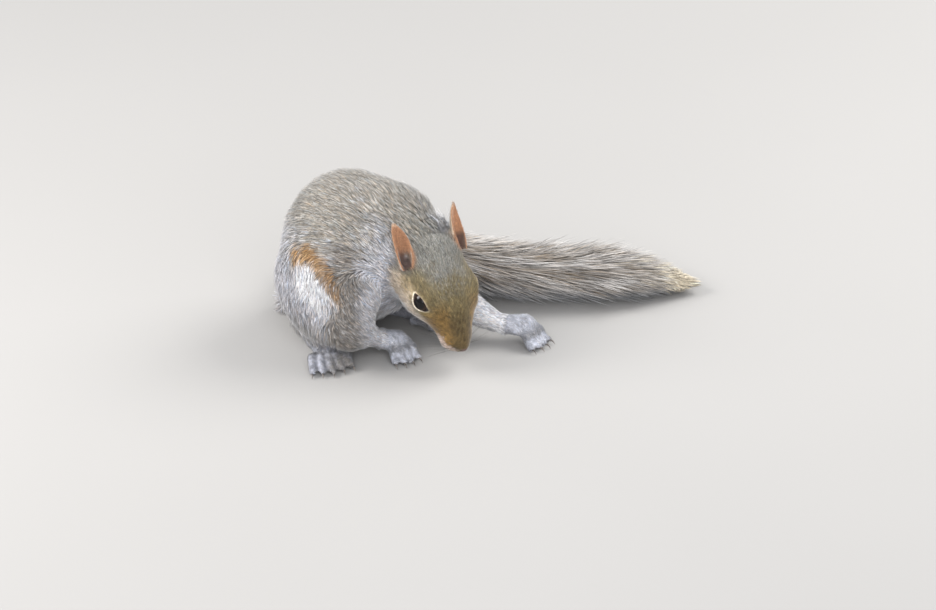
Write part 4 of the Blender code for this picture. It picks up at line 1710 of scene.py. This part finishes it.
    def build(self) -> None:
        """Sows the coat and makes its pieces, part by part."""
        roots = self.sow()
        material = CoatFinish("coat_fur").make()
        slots = {
            Part.HEAD: "coat_brow",
            Part.EAR: "ear_skin",
            Part.FOREPAW: "coat_paw",
            Part.HINDFOOT: "coat_paw",
            Part.TAIL: "coat_tail",
        }
        for index, part in enumerate(Part):
            bends = COATS[part].bends
            mine = np.flatnonzero(roots.part == index)
            pieces = math.ceil(len(mine) * len(TUFT_FACES if bends else SHORT_TUFT_FACES) / self.most)
            middle = roots.points[mine].mean(0)
            around = np.arctan2(roots.points[mine, 1] - middle[1], roots.points[mine, 0] - middle[0])
            for number, group in enumerate(np.array_split(mine[np.argsort(around)], pieces), 1):
                name = "coat_%s_%d" % ("tail_root" if part is Part.TAIL else part.value, number)
                self.piece(name, roots.chosen(group), bends, material, slots.get(part, "coat_grey"))


@dataclass
class Brush:
    """The long hair of the tail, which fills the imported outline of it.

    Attributes:
        anatomy: Where the tail lies.
        skin: The skin, whose map the tufts share.
        tufts: How many tufts there are.
        width: How wide a tuft is.
        reach: How far towards the tip a tuft runs, as a share of the tail.
        most: The most tufts in one piece.
        chance: What varies the tufts.
    """

    anatomy: Anatomy
    skin: Skin
    tufts: int = 17000
    width: float = 0.62 * MM
    reach: tuple[float, float] = (0.09, 0.17)
    most: int = 9000
    chance: np.random.Generator = field(default_factory=lambda: np.random.default_rng(SEED + 1))

    def unfolded(self, roots: np.ndarray) -> np.ndarray:
        """Where the roots lie on the skin's map.

        Args:
            roots: Places on the tail's flesh.

        Returns:
            Rows of map places.
        """
        mesh = self.skin.made.data
        tail = np.flatnonzero(self.skin.shares[Part.TAIL] > 0.3)
        tree = KDTree(len(tail))
        for index in tail:
            tree.insert(self.skin.points[index], index)
        tree.balance()
        corner = rows_of(mesh.loops, "vertex_index", 1, np.int64)[:, 0]
        on_map = np.zeros((len(self.skin.points), 2))
        on_map[corner] = rows_of(mesh.uv_layers["OFBake"].data, "uv", 2, np.float32)
        return on_map[[tree.find(root)[1] for root in roots.tolist()]]

    def build(self) -> None:
        """Makes the brush in pieces from root to tip."""
        chance, count = self.chance, self.tufts
        share = (np.arange(count) + chance.random(count)) / count
        share = 0.985 * share**0.95
        angle = chance.uniform(0.0, 2.0 * math.pi, count)
        rows, along = self.anatomy.tail_at(share)
        across = np.stack((-along[:, 1], along[:, 0], np.zeros(count)), axis=1)
        up = np.array((0.0, 0.0, 1.0))
        radius = 0.8 * self.skin.tail_radius(share)
        core = rows[:, :3] * (1.0, 1.0, 0.9)
        outward = across * np.cos(angle)[:, None] + up * np.sin(angle)[:, None]
        roots = core + outward * radius[:, None]
        fullness = chance.uniform(0.0, 1.0, count) ** (0.4 + 0.2 * ease(0.8, 0.95, share))
        end_share = share + chance.uniform(*self.reach, count) * (1.0 - 0.3 * ease(0.8, 1.0, share))
        slowed = 0.96 + (0.62 - 0.42 * chance.uniform(0.6, 1.0, count) * fullness**2) * (end_share - 0.96)
        end_share = np.where(end_share > 0.96, slowed, end_share)
        locks = 0.06 * waves(np.stack((90.0 * share, angle, fullness), axis=1) * MM, 2.4 * MM, 21)
        ragged = 1.02 + 0.07 * chance.normal(size=count) + locks
        end_rows, end_along = self.anatomy.tail_at(end_share)
        end_across = np.stack((-end_along[:, 1], end_along[:, 0], np.zeros(count)), axis=1)
        taper = 1.0 + 0.1 * ease(0.75, 0.88, end_share) - 0.45 * ease(0.9, 1.04, end_share)
        out = fullness * ragged * taper
        out *= 0.75 + 0.25 * ease(0.0, 0.16, end_share)
        twist = angle + 0.2 * chance.normal(size=count) + 3.0 * locks
        axis_end = end_rows[:, :3]
        tips = axis_end + end_across * (np.cos(twist) * out * end_rows[:, 3])[:, None]
        tips += up * (np.sin(twist) * out * end_rows[:, 4])[:, None]
        tips[:, 2] = np.maximum(tips[:, 2], 0.3 * MM)
        bend = roots + 0.45 * (tips - roots) + outward * (0.3 * out * end_rows[:, 4])[:, None]
        bend[:, 2] = np.maximum(bend[:, 2], 0.5 * MM)
        points, shade = self.swept((roots, bend, tips), (core, axis_end))
        colours = self.banded(share, fullness, twist)
        patch = self.unfolded(roots)
        material = CoatFinish("tail_fur", roughness=0.55, sheen=0.3).make()
        for number, group in enumerate(np.array_split(np.argsort(share), math.ceil(count / self.most)), 1):
            name = "coat_tail_%d" % number
            made = tuft_piece(name, points[group], BRUSH_FACES, colours[group], shade[group], patch[group])
            finish_piece(made, material)
            log.info("%s: %d tufts", name, len(group))

    def swept(
        self,
        line: tuple[np.ndarray, np.ndarray, np.ndarray],
        axis: tuple[np.ndarray, np.ndarray],
    ) -> tuple[np.ndarray, np.ndarray]:
        """Tufts that run from their roots over a bend to their tips.

        Args:
            line: The root, the bend and the tip of each.
            axis: The places on the tail's line beside its root and its tip.

        Returns:
            The ten points of each tuft, and the directions by which they are shaded.
        """
        roots, bend, tips = line
        axis_start, axis_end = axis
        up = np.array((0.0, 0.0, 1.0))
        half = 0.5 * self.width * self.chance.uniform(0.7, 1.3, len(roots))
        rings, shades = [], []
        for step, wide in ((0.0, 0.6), (0.38, 1.0), (0.72, 0.85)):
            middle = roots * (1 - step) ** 2 + bend * 2 * step * (1 - step) + tips * step**2
            heading = unit((bend - roots) * (1 - step) + (tips - bend) * step)
            side = unit(np.cross(heading, up) + 1e-6)
            ridge = np.cross(side, heading)
            radial = unit(middle - axis_start * (1 - step) - axis_end * step)
            for lean in (-side, side, 0.6 * ridge):
                rings.append(middle + lean * (half * wide)[:, None])
                shades.append(unit(0.7 * radial + 0.45 * unit(lean) + 0.35 * up))
        rings.append(tips)
        shades.append(unit(0.7 * unit(tips - axis_end) + 0.35 * up))
        return np.stack(rings, axis=1), np.stack(shades, axis=1)

    def banded(self, share: np.ndarray, fullness: np.ndarray, twist: np.ndarray) -> np.ndarray:
        """Bands the hairs brown, black and white, paler at the fringe and the tip, greyer at the root, with
        painted shade on the underside.

        Args:
            share: How far along the tail each root is.
            fullness: How far out each tip is.
            twist: Which way round the tail each tip stands.

        Returns:
            A colour for each of the ten points of every tuft.
        """
        count = len(share)
        chance = self.chance
        streaks = waves(np.stack((26.0 * share, 6.0 * twist, 2.0 * fullness), axis=1) * MM, 3.0 * MM, 22)
        bright = np.exp(0.18 * chance.normal(size=count) + 0.26 * streaks)
        bright *= 1.0 - 0.17 * ease(0.3, 0.55, share)
        under = 0.8 * ease(0.0, -0.7, np.sin(twist))
        # painted shade: hairs on the underside of the tail are darker, most towards its tip
        bright *= 1.0 - under * (0.1 + 0.5 * ease(0.5, 0.75, share))
        brown = np.tile(PALETTE.tail_brown, (count, 1))
        root = mixed(brown, PALETTE.slate, np.full(count, 0.35))
        grey = np.clip(0.6 + 0.35 * streaks + 0.2 * chance.normal(size=count), 0.0, 1.0)
        middle = mixed(brown, PALETTE.tail_grey, grey)
        band = mixed(middle, PALETTE.black, np.where(chance.random(count) < 0.34, 0.8, 0.08))
        fringe = fullness**3 * ease(-0.3, 0.7, np.sin(twist))
        tip = mixed(np.tile(PALETTE.tail_grey, (count, 1)), PALETTE.frost, 0.2 + 0.7 * fringe)
        tip = mixed(tip, PALETTE.black, 0.8 * (chance.random(count) < 0.12))
        to_end = ease(0.85, 0.95, share + 0.04 * chance.normal(size=count) + 0.04 * fullness * np.sin(twist))
        shades = []
        for colour, strength in ((root, 0.5), (middle, 0.85), (band, 0.9), (tip, 0.95)):
            colour = mixed(colour, PALETTE.tail_under, under)
            colour = mixed(colour, PALETTE.lavender, 0.8 * ease(0.25, 0.05, share))
            shades.append(mixed(colour, PALETTE.tail_tip, strength * to_end) * bright[:, None])
        rings = np.repeat(np.stack(shades[:3], axis=1), 3, axis=1)
        return np.concatenate((rings, shades[3][:, None]), axis=1).clip(0.0, 1.0)


# ------------------------------------------------------------------------------------------ claws, whiskers
@dataclass
class Claws:
    """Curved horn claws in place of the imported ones, joined paw by paw.

    Attributes:
        arch: How far a claw's back bows up, as a share of its length.
        slimness: Its radius at the root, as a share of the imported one's.
    """

    frame: dict
    arch: float = 0.2
    slimness: float = 0.66

    def line(self, node: str) -> tuple[np.ndarray, np.ndarray]:
        """The bowed line of one claw and its radius along it."""
        place = ClawPlace.of(self.frame, node)
        along = place.tip - place.root
        side = unit(np.cross(along, (0.0, 0.0, 1.0)))
        above = unit(np.cross(side, along))
        share = np.linspace(-0.35, 1.0, 9)
        bow = self.arch * np.linalg.norm(along) * (1.0 - (2.0 * share - 0.9) ** 2)
        points = place.root + along * share[:, None] + above * bow[:, None]
        radii = self.slimness * place.radius * np.clip(1.04 - share, 0.04, 1.0) ** 0.7
        return points, radii

    def build(self) -> None:
        """Makes a piece of claws for each paw."""
        material = HornFinish("claw_horn", (0.085, 0.07, 0.062), (0.30, 0.26, 0.225)).make()
        for kind in ("foreclaw", "hindclaw"):
            for side in SIDES:
                nodes = digits(kind, side)
                made = round_lines("claws_%s_%s" % (kind[:-4], side), [self.line(node) for node in nodes], 3)
                made.data.shade_smooth()
                finish_piece(made, material)
                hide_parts(*nodes)
        log.info("claws: 18")


@dataclass
class Whiskers:
    """The long feelers of the muzzle and the brow.

    Attributes:
        anatomy: Where the head is.
        thickness: How thick a whisker is at its root.
        chance: What varies them.
    """

    anatomy: Anatomy
    thickness: float = 0.14 * MM
    chance: np.random.Generator = field(default_factory=lambda: np.random.default_rng(SEED + 2))

    def roots(self, sign: float) -> list[tuple[tuple, tuple, float]]:
        """Root, heading and length of each whisker on one side, in the head's axes."""
        found = []
        for row in range(4):
            for column in range(4):
                root = (sign * (3.4 + 0.7 * column), -27.0 + 2.2 * column, -5.4 + 1.5 * row)
                heading = (sign * (1.0 - 0.08 * column), 0.1 + 0.26 * column, -0.25 + 0.2 * row)
                found.append((root, heading, 14.0 + 3.6 * column + 1.2 * row))
        for number in range(2):
            root = (sign * (9.5 + number), -8.0 + 2.0 * number, 9.0)
            found.append((root, (sign * 0.8, 0.3, 0.6), 11.0))
        return found

    def line(self, sign: float, root: tuple, heading: tuple, length: float) -> tuple[np.ndarray, np.ndarray]:
        """The bowed line of one whisker and its radius along it.

        Args:
            sign: 1 for the left side, -1 for the right.
            root: Where it grows, in the head's axes.
            heading: Which way it starts, in the same axes.
            length: How long it is, in millimetres.

        Returns:
            Its points and radii.
        """
        way = unit(np.array(heading) + 0.08 * self.chance.normal(size=3)) @ self.anatomy.head
        reach = length * self.chance.uniform(0.85, 1.15) * MM
        droop = np.array((0.1 * sign, 0.45, -0.15)) + 0.12 * self.chance.normal(size=3)
        share = np.linspace(0.0, 1.0, 8)[:, None]
        points = self.anatomy.from_head(*root) + way * reach * share + droop * reach * 0.35 * share**2
        points[:, 2] = np.maximum(points[:, 2], 0.6 * MM)
        return points, 0.5 * self.thickness * (1.0 - 0.85 * share[:, 0])

    def build(self) -> None:
        """Makes all the whiskers as one piece."""
        lines = [self.line(sign, *root) for sign in SIDES.values() for root in self.roots(sign)]
        made = round_lines("whiskers", lines, 0)
        made.data.shade_smooth()
        material = HornFinish("whisker_hair", (0.03, 0.025, 0.02), (0.12, 0.1, 0.08)).make()
        finish_piece(made, material)
        log.info("whiskers: %d", len(lines))


# --------------------------------------------------------------------------------------------------- studio
@dataclass(frozen=True)
class Lamp:
    """A soft square lamp that faces the animal.

    Attributes:
        name: Its name.
        turn: Its bearing, in degrees.
        height: Its height, in degrees.
        distance: How far away it is.
        size: The length of its side.
        power: Its power, in watts.
        tint: Its colour.
    """

    name: str
    turn: float
    height: float
    distance: float
    size: float
    power: float
    tint: Colour


LAMPS = (
    Lamp("key", -128.0, 36.0, 1.0, 0.5, 8.5, (1.0, 0.975, 0.955)),
    Lamp("back", 74.0, 44.0, 1.1, 0.7, 10.0, (1.0, 0.985, 0.97)),
    Lamp("front", -40.0, 30.0, 1.5, 1.2, 12.0, (0.98, 0.98, 1.0)),
)


@dataclass
class Studio:
    """The pale floor, the soft lights and the camera.

    Attributes:
        aim: The point of the floor that the camera looks at.
        turn: How far round the animal's right side the camera stands, in degrees.
        height: How far above the floor it looks down from, in degrees.
        distance: How far away it stands.
        lens: Its focal length, in millimetres, on a frame 36 mm wide.
        lit: The point that the lamps face.
        tones: The two tones of the floor.
        air: The colour of the light from all round.
        air_strength: How strong it is.
    """

    aim: tuple[float, float, float] = (0.0048, -0.0085, 0.0)
    turn: float = -42.0
    height: float = 30.0
    distance: float = 3.5
    lens: float = 262.5
    lit: tuple[float, float, float] = (-0.02, 0.0, 0.04)
    tones: tuple[tuple, tuple] = ((0.43, 0.42, 0.405, 1.0), (0.47, 0.46, 0.445, 1.0))
    air: tuple[float, float, float, float] = (0.92, 0.95, 1.0, 1.0)
    air_strength: float = 0.62

    def away(self, turn: float, height: float) -> Vector:
        """The direction from the animal to something seen from it at a bearing and a height."""
        flat = math.cos(math.radians(height))
        bearing = math.radians(turn)
        return Vector((math.sin(bearing) * flat, -math.cos(bearing) * flat, math.sin(math.radians(height))))

    def floor(self) -> None:
        """A wide pale floor with the faintest unevenness of tone."""
        activate_none()
        bpy.ops.mesh.primitive_plane_add(size=8.0, location=(0.0, 0.0, 0.0))
        made = bpy.context.object
        made.name = "floor"
        material = bpy.data.materials.new("floor_paint")
        material.use_nodes = True
        nodes, links = material.node_tree.nodes, material.node_tree.links
        shader = nodes["Principled BSDF"]
        place = nodes.new("ShaderNodeTexCoord")
        cloud = nodes.new("ShaderNodeTexNoise")
        cloud.inputs["Scale"].default_value = 3.0
        ramp = nodes.new("ShaderNodeValToRGB")
        for element, tone in zip(ramp.color_ramp.elements, self.tones):
            element.color = tone
        links.new(place.outputs["Object"], cloud.inputs["Vector"])
        links.new(cloud.outputs["Fac"], ramp.inputs["Fac"])
        links.new(ramp.outputs["Color"], shader.inputs["Base Color"])
        shader.inputs["Roughness"].default_value = 0.85
        made.data.materials.append(material)

    def hang(self, lamp: Lamp) -> None:
        """Sets up one lamp."""
        data = bpy.data.lights.new(lamp.name, "AREA")
        data.size = lamp.size
        data.energy = lamp.power
        data.color = lamp.tint
        made = bpy.data.objects.new(lamp.name, data)
        bpy.context.scene.collection.objects.link(made)
        away = self.away(lamp.turn, lamp.height)
        made.location = away * lamp.distance + Vector(self.lit)
        made.rotation_euler = away.to_track_quat("Z", "Y").to_euler()

    def build(self) -> None:
        """Sets the floor, the lights, the air and the camera."""
        self.floor()
        for lamp in LAMPS:
            self.hang(lamp)
        world = bpy.data.worlds.new("air")
        bpy.context.scene.world = world
        world.use_nodes = True
        background = world.node_tree.nodes["Background"]
        background.inputs["Color"].default_value = self.air
        background.inputs["Strength"].default_value = self.air_strength
        data = bpy.data.cameras.new("camera")
        data.lens = self.lens
        data.sensor_width = 36.0
        data.clip_end = 50.0
        camera = bpy.data.objects.new("camera", data)
        bpy.context.scene.collection.objects.link(camera)
        away = self.away(self.turn, self.height)
        camera.location = Vector(self.aim) + away * self.distance
        camera.rotation_euler = away.to_track_quat("Z", "Y").to_euler()
        bpy.context.scene.camera = camera
        bpy.context.scene.view_settings.view_transform = "Standard"
        log.info("studio: floor, %d lamps, camera", len(LAMPS))


def main() -> None:
    """Dresses the squirrel, piece by piece."""
    logging.basicConfig(level=logging.INFO, format="%(name)s: %(message)s")
    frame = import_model()
    anatomy = Anatomy(frame)
    markings = Markings(anatomy)
    skin = Skin(anatomy)
    skin.build()
    skin.dress(markings)
    Eyes(anatomy).build()
    Fur(skin, markings).build()
    Brush(anatomy, skin).build()
    Claws(frame).build()
    Whiskers(anatomy).build()
    Studio().build()


if __name__ == "__main__":
    main()
